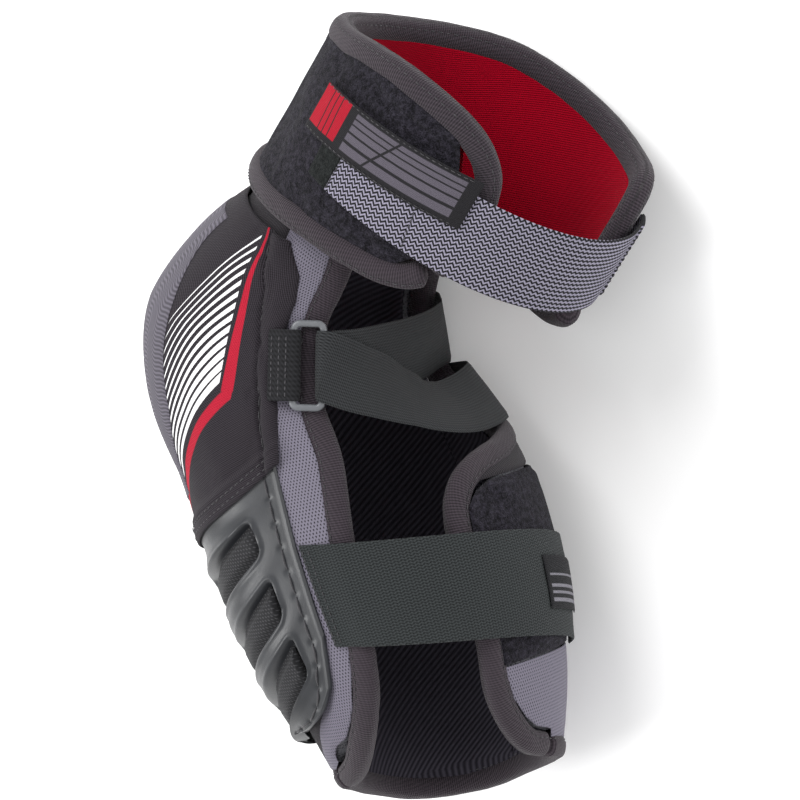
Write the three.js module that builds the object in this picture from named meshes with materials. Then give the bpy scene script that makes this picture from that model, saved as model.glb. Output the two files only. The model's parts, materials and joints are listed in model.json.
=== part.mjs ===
// Left elbow pad: a sleeve of padded foam from wrist to elbow, a moulded forearm guard, a
// rigid cap under the elbow cover, an upper-arm cuff that bends on a fabric gusset, and
// three straps. Millimetres.
// It is drawn as worn: forearm along +Z from the wrist up, the opening of the arm channel
// facing +X, the inner side of the arm at -Y. The whole is then laid on its outer side,
// so that the inner side of the arm faces up.
import * as THREE from "three";

const DEG = Math.PI / 180;

// Taken off the drawing's x, y and z so that the laid-down part is centred on its origin
// and touches the ground.
const CENTRE_X = 35.8;
const OUTER_SIDE_Y = 68.9;
const CENTRE_Z = 157.2;

// ---------------------------------------------------------------- driving dimensions
// Sleeve sections from wrist to elbow: centre (x, z), forward tilt of the section in
// degrees, then the front, back and side radii of its oval.
const SLEEVE_STATIONS = [
  [8, 0, 0, 48, 47, 46],
  [8, 36, 0, 58, 56, 57],
  [5, 76, 0, 67, 64, 65],
  [1, 116, 0, 70, 66, 67],
  [-4, 148, 2, 67, 64, 66],
  [-8, 176, 9, 60, 66, 64],
  [-3, 202, 22, 56, 67, 61],
  [10, 222, 37, 54, 55, 57],
  [26, 236, 50, 55, 45, 51.5],
  [39, 247, 50, 56, 40, 49],
];
const SLEEVE_ROWS = [0.335, 0.6, 0.9, 1.25, 1.6, 2, 2.4, 2.8, 3.2, 3.6, 4, 4.4, 4.8, 5.2,
  5.6, 6, 6.4, 6.8, 7.2, 7.6, 8, 8.4, 8.8];

const LINING = [-7.6, -6.7]; // offsets of each layer's faces from the sleeve surface
const FOAM = [-6, -1.4];
const MESH_SKIN = [0, 0.9];
const BINDING_WIDTH = 10.4;
const BINDING_THICKNESS = 9.6;
const BINDING_OFFSET = -3.2;

const WEBBING = 1.4; // thickness of the straps
const FOREARM_STRAP_WIDTH = 45;
const ELBOW_STRAP_WIDTH = 30;
const BICEP_STRAP_WIDTH = 38;

// Cuff: an elliptic tube that leans forward over the elbow.
const CUFF_TILT = 50;
const CUFF_BASE = [40.3, 0, 220.8];
const CUFF_FRONT = 79;
const CUFF_BACK = 73;
const CUFF_INNER_SIDE = 66;
const CUFF_OUTER_SIDE = 65.3;

// Free edges, as [station, angle] pairs at the centreline of the binding tape.
const MEDIAL_EDGE = [[0.355, -128], [0.4, -120.5], [0.53, -109.5], [0.8, -98], [1.15, -88], [1.5, -82],
  [2, -77], [3, -71.5], [4, -64.5], [5, -61.5], [6, -60.5], [7, -62], [8, -66.5],
  [8.8, -70]];
const WING_EDGE = [[0.18, 2], [0.3, -12], [0.5, -20], [0.8, -26], [1.1, -28], [1.6, -27.5],
  [2.2, -28], [2.7, -28.5], [3, -26], [3.25, -20], [3.42, -10], [3.55, 10], [3.7, 30],
  [3.95, 48], [4.4, 62], [5, 69], [6, 72], [7, 73], [8, 74], [8.8, 75]];
// The wrist rim dips towards the outer side of the arm.
const RIM_LINE = [[-358, 0.17], [-340, 0.1], [-310, -0.01], [-283, -0.12], [-261, -0.21],
  [-242, -0.22], [-224, -0.19], [-206, -0.11], [-187, 0.04], [-173, 0.15], [-162, 0.24],
  [-150, 0.3], [-135, 0.345], [-128, 0.355]];
// The same edges where the foam and the lining stop, just inside the tape.
const MEDIAL_FOAM_EDGE = [[0.335, -122], [0.6, -105.5], [0.9, -98.8], [1.23, -93.4],
  [1.55, -87.8], [2, -82.8], [3, -77.4], [4, -70.8], [5, -67.8], [6, -67.2], [7, -69],
  [8, -73.6], [8.8, -77.4]];
const WING_FOAM_EDGE = [[0.335, 5], [0.435, -7.6], [0.59, -14.2], [0.85, -20.2],
  [1.12, -22], [1.6, -21.6], [2.2, -22], [2.6, -22.2], [2.93, -20.8], [3.08, -16.2],
  [3.19, -8.5], [3.3, 11], [3.45, 31.6], [3.66, 50], [4.15, 69]];

// ---------------------------------------------------------------- surfaces
function stationAt(v) {
  const last = SLEEVE_STATIONS.length - 1;
  const i = Math.min(Math.max(Math.floor(v), 0), last - 1);
  const t = v - i;
  const b = SLEEVE_STATIONS[i];
  const c = SLEEVE_STATIONS[i + 1];
  const a = i > 0 ? SLEEVE_STATIONS[i - 1] : b.map((q, k) => 2 * q - c[k]);
  const d = i + 2 <= last ? SLEEVE_STATIONS[i + 2] : c.map((q, k) => 2 * q - b[k]);
  return b.map((q, k) => 0.5 * (2 * q + (c[k] - a[k]) * t
    + (2 * a[k] - 5 * q + 4 * c[k] - d[k]) * t * t
    + (3 * q - a[k] - 3 * c[k] + d[k]) * t * t * t));
}

// A point of the sleeve: angle in degrees from +X towards +Y, station v, offset outwards.
function sleeve(angle, v, offset) {
  const [x, z, tilt, front, back, side] = stationAt(v);
  const cos = Math.cos(angle * DEG);
  const r = ((cos > 0 ? front : back) + offset) * cos;
  return new THREE.Vector3(
    x + r * Math.cos(tilt * DEG),
    (side + offset) * Math.sin(angle * DEG),
    z - r * Math.sin(tilt * DEG),
  );
}

// A point of the cuff: angle as above, distance s along the cuff's axis, offset outwards.
function cuff(angle, s, offset) {
  const cos = Math.cos(angle * DEG);
  const r = ((cos > 0 ? CUFF_FRONT : CUFF_BACK) + offset) * cos;
  const sin = Math.sin(angle * DEG);
  const side = sin > 0 ? CUFF_OUTER_SIDE : CUFF_INNER_SIDE;
  const sinT = Math.sin(CUFF_TILT * DEG);
  const cosT = Math.cos(CUFF_TILT * DEG);
  return new THREE.Vector3(
    CUFF_BASE[0] + s * sinT + r * cosT,
    (side + offset) * sin,
    CUFF_BASE[2] + s * cosT - r * sinT,
  );
}

function table(pairs, x) {
  if (x <= pairs[0][0]) return pairs[0][1];
  for (let k = 1; k < pairs.length; k++) {
    const [x0, y0] = pairs[k - 1];
    const [x1, y1] = pairs[k];
    if (x <= x1) return y0 + ((y1 - y0) * (x - x0)) / (x1 - x0);
  }
  return pairs[pairs.length - 1][1];
}

function smooth(t) {
  const u = Math.min(Math.max(t, 0), 1);
  return u * u * (3 - 2 * u);
}

function span(from, to, steps) {
  return Array.from({ length: steps + 1 }, (_, k) => from + ((to - from) * k) / steps);
}

function valueOf(item, angle, v) {
  return typeof item === "function" ? item(angle, v) : item;
}

// ---------------------------------------------------------------- mesh builders
const pad = new THREE.Group();
pad.name = "elbow_pad_left";
const laid = new THREE.Group();
laid.rotation.x = -Math.PI / 2;
pad.add(laid);
const shifted = new THREE.Group();
shifted.position.set(-CENTRE_X, -OUTER_SIDE_Y, -CENTRE_Z);
laid.add(shifted);

function addMesh(name, vertices, faces, color, roughness) {
  const geometry = new THREE.BufferGeometry();
  const flat = [];
  faces.forEach((f) => f.forEach((k) => flat.push(...vertices[k].toArray())));
  geometry.setAttribute("position", new THREE.Float32BufferAttribute(flat, 3));
  geometry.computeVertexNormals();
  const material = new THREE.MeshStandardMaterial({ color, roughness, name });
  const mesh = new THREE.Mesh(geometry, material);
  mesh.name = name;
  shifted.add(mesh);
  return mesh;
}

// A closed plate laid on a surface. rows are values of the second coordinate, ends(row)
// gives the first and last angle, and keep(i, j) may leave out cells, which cuts windows.
function plate(name, spec) {
  const { surface, rows, columns, ends, inner, outer, keep } = spec;
  const place = spec.place || ((angle, row) => [angle, row]);
  const vertices = [];
  const index = (side, i, j) => (side * rows.length + i) * (columns + 1) + j;
  for (const item of [outer, inner]) {
    for (const row of rows) {
      const [a0, a1] = ends(row);
      for (let j = 0; j <= columns; j++) {
        const [angle, v] = place(a0 + ((a1 - a0) * j) / columns, row);
        vertices.push(surface(angle, v, valueOf(item, angle, v)));
      }
    }
  }
  const kept = (i, j) => i >= 0 && j >= 0 && i < rows.length - 1 && j < columns
    && (!keep || keep(i, j));
  const faces = [];
  const quad = (a, b, c, d) => faces.push([a, b, c], [a, c, d]);
  for (let i = 0; i < rows.length - 1; i++) {
    for (let j = 0; j < columns; j++) {
      if (!kept(i, j)) continue;
      const [p, q, r, s] = [[i, j], [i, j + 1], [i + 1, j + 1], [i + 1, j]];
      quad(...[p, q, r, s].map((k) => index(0, ...k)));
      quad(...[s, r, q, p].map((k) => index(1, ...k)));
      const wall = (m, n) => quad(index(1, ...m), index(1, ...n), index(0, ...n),
        index(0, ...m));
      if (!kept(i - 1, j)) wall(p, q);
      if (!kept(i, j + 1)) wall(q, r);
      if (!kept(i + 1, j)) wall(r, s);
      if (!kept(i, j - 1)) wall(s, p);
    }
  }
  return addMesh(name, vertices, faces, spec.color, spec.roughness ?? 0.9);
}

// A solid bar of constant cross-section along points, with its broad side square to the
// normals. The section is an oval of the given number of sides, or a rectangle.
function bar(name, spec) {
  const { points, normals, width, thickness, closed } = spec;
  const sides = spec.sides || 8;
  const count = points.length;
  const section = spec.box
    ? [[-0.5, -0.5], [0.5, -0.5], [0.5, 0.5], [-0.5, 0.5]]
    : Array.from({ length: sides }, (_, k) => {
      const a = ((k + 0.5) * 2 * Math.PI) / sides;
      const r = 0.5 / Math.cos(Math.PI / sides);
      return [Math.cos(a) * r, Math.sin(a) * r];
    });
  const m = section.length;
  const vertices = [];
  for (let k = 0; k < count; k++) {
    const before = points[closed ? (k + count - 1) % count : Math.max(k - 1, 0)];
    const after = points[closed ? (k + 1) % count : Math.min(k + 1, count - 1)];
    const along = after.clone().sub(before).normalize();
    const normal = normals[k].clone().addScaledVector(along, -normals[k].dot(along));
    normal.normalize();
    const across = normal.clone().cross(along);
    for (const [a, b] of section) {
      vertices.push(points[k].clone().addScaledVector(across, a * width)
        .addScaledVector(normal, b * thickness));
    }
  }
  const faces = [];
  const rings = closed ? count : count - 1;
  for (let k = 0; k < rings; k++) {
    const next = (k + 1) % count;
    for (let q = 0; q < m; q++) {
      const r = (q + 1) % m;
      faces.push([k * m + q, k * m + r, next * m + r]);
      faces.push([k * m + q, next * m + r, next * m + q]);
    }
  }
  if (!closed) {
    for (let q = 1; q < m - 1; q++) {
      faces.push([0, q + 1, q]);
      faces.push([(count - 1) * m, (count - 1) * m + q, (count - 1) * m + q + 1]);
    }
  }
  return addMesh(name, vertices, faces, spec.color, spec.roughness ?? 0.9);
}

// The outward normal of a surface, from steps of one degree and a hundredth of a station.
function normalOf(surface, angle, v, offset) {
  const step = surface === sleeve ? 0.02 : 1;
  const round = surface(angle + 0.5, v, offset).sub(surface(angle - 0.5, v, offset));
  const up = surface(angle, v + step, offset).sub(surface(angle, v - step, offset));
  return round.cross(up).normalize();
}

// Points and normals along a path of [second coordinate, angle] pairs on a surface.
function pathOn(surface, pairs, offset, samples, closed = false) {
  const curve = new THREE.CatmullRomCurve3(
    pairs.map(([v, angle]) => new THREE.Vector3(angle, v * (surface === sleeve ? 36 : 1), 0)),
    closed,
    "centripetal",
  );
  const total = closed ? samples : samples + 1;
  const points = [];
  const normals = [];
  for (let k = 0; k < total; k++) {
    const p = curve.getPointAt(k / samples);
    const v = p.y / (surface === sleeve ? 36 : 1);
    points.push(surface(p.x, v, offset));
    normals.push(normalOf(surface, p.x, v, offset));
  }
  return { points, normals };
}

const medialEnd = (v) => table(MEDIAL_FOAM_EDGE, v);
// Rows below the forearm's middle are drawn out to meet the rim.
const FOOT_LINE = [...RIM_LINE, [-121, 0.43], [-114, 0.53]];
const FOOT_ROW = 0.335;
const LEVEL_ROW = 1.2;
function toRim(angle, row) {
  if (row >= LEVEL_ROW) return [angle, row];
  const foot = table(FOOT_LINE, angle > -40 ? angle - 360 : angle) + 0.18;
  const t = (row - FOOT_ROW) / (LEVEL_ROW - FOOT_ROW);
  return [angle, foot + (LEVEL_ROW - foot) * t];
}
const SEAM = 81; // the lateral seam where the wing joins the sleeve
const CHARCOAL = 0x44464b;
const BLACK = 0x18181b;
const TAPE = 0x463e44;
const MESH_GREY = 0x76747f;

// ---------------------------------------------------------------- sleeve layers
const sleeveEnds = (v) => [SEAM + 0.6 - 360, medialEnd(v)];
plate("sleeve_foam", {
  surface: sleeve, place: toRim, rows: SLEEVE_ROWS, columns: 18, ends: sleeveEnds,
  inner: FOAM[0], outer: FOAM[1], color: 0x8a8a90,
});
plate("sleeve_lining", {
  surface: sleeve, place: toRim, rows: SLEEVE_ROWS, columns: 18, ends: sleeveEnds,
  inner: LINING[0], outer: LINING[1], color: BLACK,
});

// Strips of grey spacer mesh on both flanks, between the guard and the edge tape.
const MEDIAL_MESH_BACK = [[0.35, -140], [0.9, -118], [1.4, -100], [2, -93.5], [4, -91],
  [4.6, -84], [6, -84], [8.4, -96]];
const meshRows = SLEEVE_ROWS.slice(0, -2);
plate("medial_mesh", {
  surface: sleeve, place: toRim, rows: meshRows, columns: 2,
  ends: (v) => [table(MEDIAL_MESH_BACK, v), medialEnd(v)],
  inner: MESH_SKIN[0], outer: MESH_SKIN[1], color: MESH_GREY,
});
plate("lateral_mesh", {
  surface: sleeve, place: toRim, rows: meshRows, columns: 3,
  ends: (v) => [SEAM + 2 - 360, -360 - table(MEDIAL_MESH_BACK, v)],
  inner: MESH_SKIN[0], outer: MESH_SKIN[1], color: MESH_GREY,
});

// Plain knit over the back of the foam, under the guard and the cap.
plate("back_fabric", {
  surface: sleeve, place: toRim, rows: meshRows, columns: 9,
  ends: (v) => [-359.4 - table(MEDIAL_MESH_BACK, v), table(MEDIAL_MESH_BACK, v) - 0.6],
  inner: MESH_SKIN[0], outer: MESH_SKIN[1], color: BLACK,
});

// ---------------------------------------------------------------- forearm wing
const WING_ROWS = [0.335, 0.435, 0.6, 0.85, 1.12, 1.6, 2.1, 2.6, 2.9, 3.08, 3.19, 3.3, 3.45,
  3.66, 3.9, 4.15];
const wingEnds = (v) => [table(WING_FOAM_EDGE, v), SEAM - 0.4];
plate("wing_foam", {
  surface: sleeve, place: toRim, rows: WING_ROWS, columns: 9, ends: wingEnds,
  inner: FOAM[0], outer: FOAM[1], color: 0x8a8a90,
});
plate("wing_lining", {
  surface: sleeve, place: toRim, rows: WING_ROWS, columns: 9, ends: wingEnds,
  inner: LINING[0], outer: LINING[1], color: BLACK,
});
const WING_MESH_TOP = 1.22;
plate("wing_loop_panel", {
  surface: sleeve, columns: 8,
  rows: [WING_MESH_TOP + 0.03, 1.6, 2.1, 2.6, 2.9, 3.08, 3.17],
  ends: (v) => [table(WING_FOAM_EDGE, v) + 0.6, SEAM - 0.4],
  inner: MESH_SKIN[0], outer: MESH_SKIN[1] + 0.3, color: BLACK,
});
plate("wing_mesh", {
  surface: sleeve, place: toRim, columns: 8, rows: [0.36, 0.435, 0.6, 0.85, 1.12, WING_MESH_TOP],
  ends: (v) => [table(WING_FOAM_EDGE, v) + 0.6, SEAM - 0.4],
  inner: MESH_SKIN[0], outer: MESH_SKIN[1], color: MESH_GREY,
});

// ---------------------------------------------------------------- edge tapes
function tape(name, surface, pairs, samples, extra = {}) {
  const path = pathOn(surface, pairs, extra.offset ?? BINDING_OFFSET, samples);
  return bar(name, {
    ...path, width: extra.width ?? BINDING_WIDTH,
    thickness: extra.thickness ?? BINDING_THICKNESS, color: TAPE,
  });
}
tape("medial_binding", sleeve, MEDIAL_EDGE, 44);
tape("wing_binding", sleeve, WING_EDGE, 60);
tape("wrist_binding", sleeve,
  [[0.175, -356.4], ...RIM_LINE.slice(1, -1).map(([angle, v]) => [v, angle]), [0.353, -129.2]],
  34);

// ---------------------------------------------------------------- outer height of the back
// Height of the outermost skin over the sleeve, for an angle measured from the middle of
// the back (0) to the flanks (+-93).
const BACK = -180;
const FLANK = 93;
const OUTER_FLANK = 78; // the guard and the cap sit lower round the outer side
function backHeight(angle, v) {
  const c = Math.abs(angle - BACK);
  const middle = table([[0, 4], [0.7, 6], [1.6, 9], [3.4, 9.4], [4.2, 9], [5.2, 11.5],
    [6.2, 11.5], [7, 8], [7.9, 3.4], [8.6, 2.6]], v);
  const edge = 2.9;
  return edge + (middle - edge) * smooth(((angle < BACK ? OUTER_FLANK : FLANK) + 2 - c) / 42);
}

// ---------------------------------------------------------------- forearm guard
// Rows of the guard sag towards the middle of the back, so that its windows sweep down.
function guardStation(angle, row) {
  const c = Math.abs(angle - BACK) / FLANK;
  const sag = table([[1.2, 0.3], [2, 1.3], [2.7, 1.1], [4.05, 0.93]], row);
  const v = row + sag * (c * c - 1);
  const floor = 0.36 + 0.9 * c * c * c;
  return [angle, Math.max(v, floor + 0.05 * (row - 1.2))];
}
const GUARD_ROWS = [1.2, 1.4, 1.6, 1.85, 2.05, 2.38, 2.66, 2.92, 3.25, 3.5, 3.78, 4.05];
const WINDOW_ROWS = [4, 6, 8]; // row cells that hold windows: 2.05-2.38, 2.66-2.92, 3.25-3.5
const GUARD_COLUMNS = 24;
const WINDOW_COLUMNS = [[2, 8], [16, 22]]; // first and past-last cell on each flank
// Half width of the guard in degrees: round at the wrist, widest at the elbow.
const guardHalf = (row) => table([[1.2, 60], [1.4, 76], [1.6, 85], [2.05, 91.5], [3, 93],
  [4.05, 97]], row);
const guardRib = (angle, v) => {
  // Raised lips between the windows give the back its scalloped outline.
  const c = Math.abs(angle - BACK) / FLANK;
  const row = v + 1.1 * (1 - c * c);
  const wave = 0.5 - 0.5 * Math.cos((row - 2.2) * 2 * Math.PI / 0.6);
  return 1.6 * wave * smooth((0.8 - c) / 0.25) * smooth((row - 1.7) / 0.3)
    * smooth((3.7 - row) / 0.3);
};
plate("slash_guard", {
  surface: sleeve, rows: GUARD_ROWS, columns: GUARD_COLUMNS, place: guardStation,
  ends: (row) => [BACK - 0.84 * guardHalf(row), BACK + guardHalf(row)],
  inner: (a, v) => backHeight(a, v) - 1.5,
  outer: (a, v) => backHeight(a, v) + guardRib(a, v),
  keep: (i, j) => !(WINDOW_ROWS.includes(i)
    && WINDOW_COLUMNS.some(([p, q]) => j >= p && j < q)),
  color: CHARCOAL, roughness: 0.45,
});
plate("slash_guard_foam", {
  surface: sleeve, rows: GUARD_ROWS.slice(0, -1), columns: 18, place: guardStation,
  ends: (row) => [BACK - 0.7 * guardHalf(row), BACK + 0.8 * guardHalf(row)],
  inner: 1.5,
  outer: (a, v) => backHeight(a, v) - 2.4,
  color: 0x4b4b4e,
});

// ---------------------------------------------------------------- elbow cap
// The cover's hem runs just above the guard's sagging top edge.
const coverFoot = (c) => 4.18 + 0.93 * (c * c - 1);
function capStation(reach) {
  return (angle, t) => {
    const c = Math.abs(angle - BACK) / FLANK;
    const foot = coverFoot(c) + reach.foot;
    const top = 7.8 + (angle > BACK ? 0.5 : -0.1) * c * c - reach.top;
    return [angle, foot + (top - foot) * t];
  };
}
function capLayer(name, width, foot, top, inner, outer, color, roughness, columns) {
  plate(name, {
    surface: sleeve, rows: span(0, 1, 10), columns, place: capStation({ foot, top }),
    ends: (t) => {
      const w = width * (1 - 0.1 * smooth((t - 0.6) / 0.4));
      return [BACK - w * (width > 90 ? 0.84 : 0.75), BACK + w];
    },
    inner, outer, color, roughness,
  });
}
capLayer("elbow_cap_cover", 95, 0, 0, (a, v) => backHeight(a, v) - 1.3, backHeight,
  BLACK, 0.9, 20);
capLayer("elbow_cap_shell", 62, 0.25, 0.85, (a, v) => backHeight(a, v) - 5,
  (a, v) => backHeight(a, v) - 2.8, 0x2c2f36, 0.4, 20);
capLayer("elbow_cap_foam", 64, 0.15, 0.6, 1.9, (a, v) => Math.max(backHeight(a, v) - 5.8, 2.4),
  0xb9b9b2, 1, 20);
capLayer("cap_centre_panel", 24, 0.55, 0.35, (a, v) => backHeight(a, v) + 0.7,
  (a, v) => backHeight(a, v) + 1.5, MESH_GREY, 0.9, 5);

// ---------------------------------------------------------------- cuff
const CUFF_TOP = [[-331, 90], [-310, 89.5], [-281, 89], [-249, 87], [-222, 80], [-201, 76],
  [-180, 76], [-160, 80], [-131, 88.5], [-115, 94.5], [-100, 98.5], [-82, 99], [-72, 97]];
const CUFF_NEAR = [[-64, 92.5], [-57.5, 84], [-55, 74], [-54.5, 60], [-55, 48], [-58, 37]];
const CUFF_FOOT = [[-65, 29], [-74, 25], [-86, 22.5], [-100, 20], [-123, 14.5], [-150, 9.5],
  [-180, 8.5], [-210, 8], [-245, 7], [-280, 6], [-300, 7.5], [-316, 12], [-330, 20]];
const CUFF_FAR = [[-338, 28], [-341, 40], [-342, 58], [-341, 74], [-337, 85]];
const inset = (pairs, ds, da) => pairs.map(([a, s]) => [a + da, s + ds]);
const topLine = (a) => table(inset([...CUFF_TOP, ...CUFF_NEAR.slice(0, 2)], -6.2, 0), a);
const footTable = inset([...CUFF_FAR.slice(0, 1), ...CUFF_FOOT.slice().reverse(),
  ...CUFF_NEAR.slice(-1)].sort((p, q) => p[0] - q[0]), 6.2, 0);
const footLine = (a) => table(footTable, a);
// The cuff's outline is drawn angle by angle; rows are angles and columns run up the cuff.
const CUFF_ANGLES = [-334.5, -328, -316, -304, -292, -280, -268, -256, -244, -232, -220,
  -208, -196, -184, -172, -160, -148, -136, -124, -112, -100, -90, -80, -71, -65, -62];
const cuffEnds = (angle) => {
  const nearRound = 16 * smooth((angle + 72) / 10);
  const farRound = 9 * smooth((-328 - angle) / 6.5);
  return [footLine(angle) + 0.5 * nearRound + farRound,
    topLine(angle) - nearRound - 0.6 * farRound];
};
function cuffLayer(name, angles, ends, inner, outer, color, columns = 3) {
  // Columns run along s, so the plate is turned over to keep its faces outwards.
  plate(name, {
    surface: (s, angle, offset) => cuff(-angle, s, offset),
    rows: angles.slice().reverse().map((a) => -a), columns,
    ends: (row) => ends(-row), inner, outer, color,
  });
}
cuffLayer("cuff_foam", CUFF_ANGLES, cuffEnds, -6, -0.9, 0x8a8a90);
cuffLayer("cuff_lining", CUFF_ANGLES, cuffEnds, -7.5, -6.5, 0xa50d22);
const LOOP_FROM = -149;
cuffLayer("cuff_loop_panel", CUFF_ANGLES.filter((a) => a > LOOP_FROM), cuffEnds, -0.3, 0.9,
  0x15151c);
cuffLayer("cuff_outer_fabric",
  [...CUFF_ANGLES.filter((a) => a < LOOP_FROM), LOOP_FROM + 0.5], cuffEnds, -0.3, 0.7,
  BLACK);
const cuffPairs = (pairs) => pairs.map(([a, s]) => [s, a]);
const cuffRim = [...CUFF_FAR.slice(1), ...CUFF_TOP, ...CUFF_NEAR];
tape("cuff_rim_binding", cuff, cuffPairs(cuffRim), 64, { offset: -3.4 });
tape("cuff_foot_roll", cuff, cuffPairs([[-337.4, 26.6], ...CUFF_FOOT.slice().reverse()
  .sort((p, q) => p[0] - q[0]), [-59.2, 34.8]]), 48,
{ offset: -2.6, thickness: 11.4 });

// ---------------------------------------------------------------- gusset of the elbow bend
// A band of stretch fabric from the top of the sleeve to the inside of the cuff.
plate("elbow_gusset", {
  surface: (angle, t, offset) => {
    const low = sleeve(angle, 8.9, -1 + offset);
    const high = cuff(angle, 42, -9.7 + offset);
    return low.lerp(high, t);
  },
  rows: [0, 0.35, 0.7, 1], columns: 10, ends: () => [-238, -122], inner: 0, outer: 0.9,
  color: BLACK,
});

// ---------------------------------------------------------------- forearm strap
const strapRows = (width, centre) => [centre - width / 2, centre, centre + width / 2];
const FOREARM_STRAP_V = 2.42;
const perStation = 40; // millimetres from one station to the next on the forearm
const strapRow = (w) => FOREARM_STRAP_V + w / perStation;
const forearmRow = (angle, v) => [angle, v - 0.0054 * (angle + 84)];
function forearmLift(angle) {
  return 3.3 - 1.7 * smooth((-72 - angle) / 9);
}
plate("forearm_strap", {
  surface: sleeve, rows: strapRows(FOREARM_STRAP_WIDTH, 0).map(strapRow), columns: 16,
  ends: () => [-86, 44], place: forearmRow,
  inner: forearmLift, outer: (a) => forearmLift(a) + WEBBING, color: 0x2f3233,
});
plate("forearm_strap_hook", {
  surface: sleeve, rows: strapRows(FOREARM_STRAP_WIDTH - 8, 0).map(strapRow), columns: 4,
  ends: () => [8, 42], place: forearmRow,
  inner: 1.7, outer: 2.8, color: 0x222225,
});
plate("forearm_strap_label", {
  surface: sleeve, rows: [-0.3, 0.3].map((k) => FOREARM_STRAP_V + k * 0.95), columns: 4,
  ends: () => [1, 34], place: forearmRow,
  inner: 3.3 + WEBBING + 0.5, outer: 3.3 + WEBBING + 1.2, color: 0x121214,
});

// ---------------------------------------------------------------- elbow strap and its ring
const RING_V = 5.85;
const RING_ANGLE = -59.5;
function strapFrame() {
  const [x, z, tilt] = stationAt(RING_V);
  const up = new THREE.Vector3(Math.sin(tilt * DEG), 0, Math.cos(tilt * DEG));
  const front = new THREE.Vector3(Math.cos(tilt * DEG), 0, -Math.sin(tilt * DEG));
  return { centre: new THREE.Vector3(x, 0, z), up, front };
}
const ring = strapFrame();
// How far the tight strap stands off the sleeve's oval, by angle: it cuts across the
// opening in front and lies on the flank at the far side.
const STRAP_STAND_OFF = [[-51, 4.2], [-42, 1], [-20, -9], [0, -12], [20, -11.5],
  [40, -8], [54, -2.4], [63, 3], [70, 4.8], [77, 4.6], [84, 3.6]];
function fixedRunPath(steps) {
  const [, , , front, , side] = stationAt(RING_V);
  const curve = new THREE.CatmullRomCurve3(STRAP_STAND_OFF.map(([angle, d]) =>
    ring.centre.clone()
      .addScaledVector(ring.front, (front + d) * Math.cos(angle * DEG))
      .add(new THREE.Vector3(0, (side + d) * Math.sin(angle * DEG), 0))), false, "centripetal");
  const points = curve.getSpacedPoints(steps);
  const normals = points.map((p, k) => {
    const t = curve.getTangentAt(k / steps);
    const flat = t.cross(ring.up);
    const y = THREE.MathUtils.clamp(p.y / side, -1, 1);
    const angle = Math.asin(y) / DEG;
    const real = normalOf(sleeve, angle, RING_V, 0);
    return flat.lerp(real, smooth((p.y - 40) / 18));
  });
  return { points, normals };
}

// Local axes at the ring: out from the sleeve, round the arm, and up along the bars.
const ringOut = sleeve(RING_ANGLE, RING_V, 1).sub(sleeve(RING_ANGLE, RING_V, 0)).normalize();
const ringUp = sleeve(RING_ANGLE, RING_V + 0.5, 0).sub(sleeve(RING_ANGLE, RING_V - 0.5, 0));
ringUp.normalize();
const ringAround = ringUp.clone().cross(ringOut).negate();
ringOut.copy(ringUp).cross(ringAround).negate();
const ringCentre = sleeve(RING_ANGLE, RING_V, 5.2);
const ringPoint = (around, out, up) => ringCentre.clone().addScaledVector(ringAround, around)
  .addScaledVector(ringOut, out).addScaledVector(ringUp, up);
// Turn the pair so that "around" points towards the opening.
if (ringAround.x < 0) ringAround.negate();
if (ringOut.y > 0) ringOut.negate();

const RING_BAR = 3;
const RING_REACH = 6.2; // half the distance between the two bars
const RING_HALF = ELBOW_STRAP_WIDTH / 2 + 2.6;
function ringPath() {
  const r = 2.6;
  const corners = [[1, 1], [-1, 1], [-1, -1], [1, -1]];
  const points = [];
  corners.forEach(([a, u], k) => {
    for (const q of [0, 30, 60, 90]) {
      const t = (q + 90 * k) * DEG;
      const across = a * (RING_REACH - r) + r * Math.cos(t);
      const along = u * (RING_HALF - r) + r * Math.sin(t);
      points.push(ringPoint(across, 0, along));
    }
  });
  return points;
}
const ringPoints = ringPath();
bar("strap_ring", {
  points: ringPoints, normals: ringPoints.map(() => ringOut), width: RING_BAR,
  thickness: RING_BAR, sides: 8, closed: true, color: 0x8b8d92, roughness: 0.35,
});

// Webbing loop that is sewn to the sleeve and holds the ring's back bar.
function loopBand(name, profile, halfWidth, color) {
  // profile: closed outline in (around, out); extruded along the ring's bars.
  const shape = profile.map(([a, o]) => new THREE.Vector2(a, o));
  const triangles = THREE.ShapeUtils.triangulateShape(shape, []);
  const n = profile.length;
  const vertices = [];
  for (const u of [-halfWidth, halfWidth]) {
    profile.forEach(([a, o]) => vertices.push(ringPoint(a, o, u)));
  }
  const sense = new THREE.Vector3().crossVectors(ringAround, ringOut).dot(ringUp)
    * (THREE.ShapeUtils.isClockWise(shape) ? -1 : 1);
  const faces = [];
  for (const [a, b, c] of triangles) {
    faces.push([a + n, b + n, c + n], [a, c, b]);
  }
  for (let k = 0; k < n; k++) {
    const m = (k + 1) % n;
    faces.push([k, m, m + n], [k, m + n, k + n]);
  }
  if (sense < 0) faces.forEach((f) => f.reverse());
  // Flat caps may come back wound either way, so they are matched to the outline's sense.
  return addMesh(name, vertices, faces, color, 0.9);
}
function hook(centreAround, inner, outer, towards, tail) {
  // A strap end folded round a bar: outer arc, tail, then the inner arc back.
  const arc = (r, list) => list.map((q) => [centreAround - towards * r * Math.cos(q * DEG),
    r * Math.sin(q * DEG)]);
  const turn = [90, 60, 30, 0, -30, -60, -90];
  return [
    ...arc(outer, turn.slice().reverse()),
    [centreAround + towards * tail, outer],
    [centreAround + towards * tail, inner],
    ...arc(inner, turn),
    [centreAround + towards * tail, -inner],
    [centreAround + towards * tail, -outer],
  ];
}
loopBand("ring_tab", hook(-RING_REACH, 1.95, 3.1, -1, 12), ELBOW_STRAP_WIDTH / 2, 0x161618);

bar("elbow_strap_fixed_run", {
  ...fixedRunPath(26), width: ELBOW_STRAP_WIDTH, thickness: WEBBING, box: true,
  color: 0x202124,
});

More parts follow.
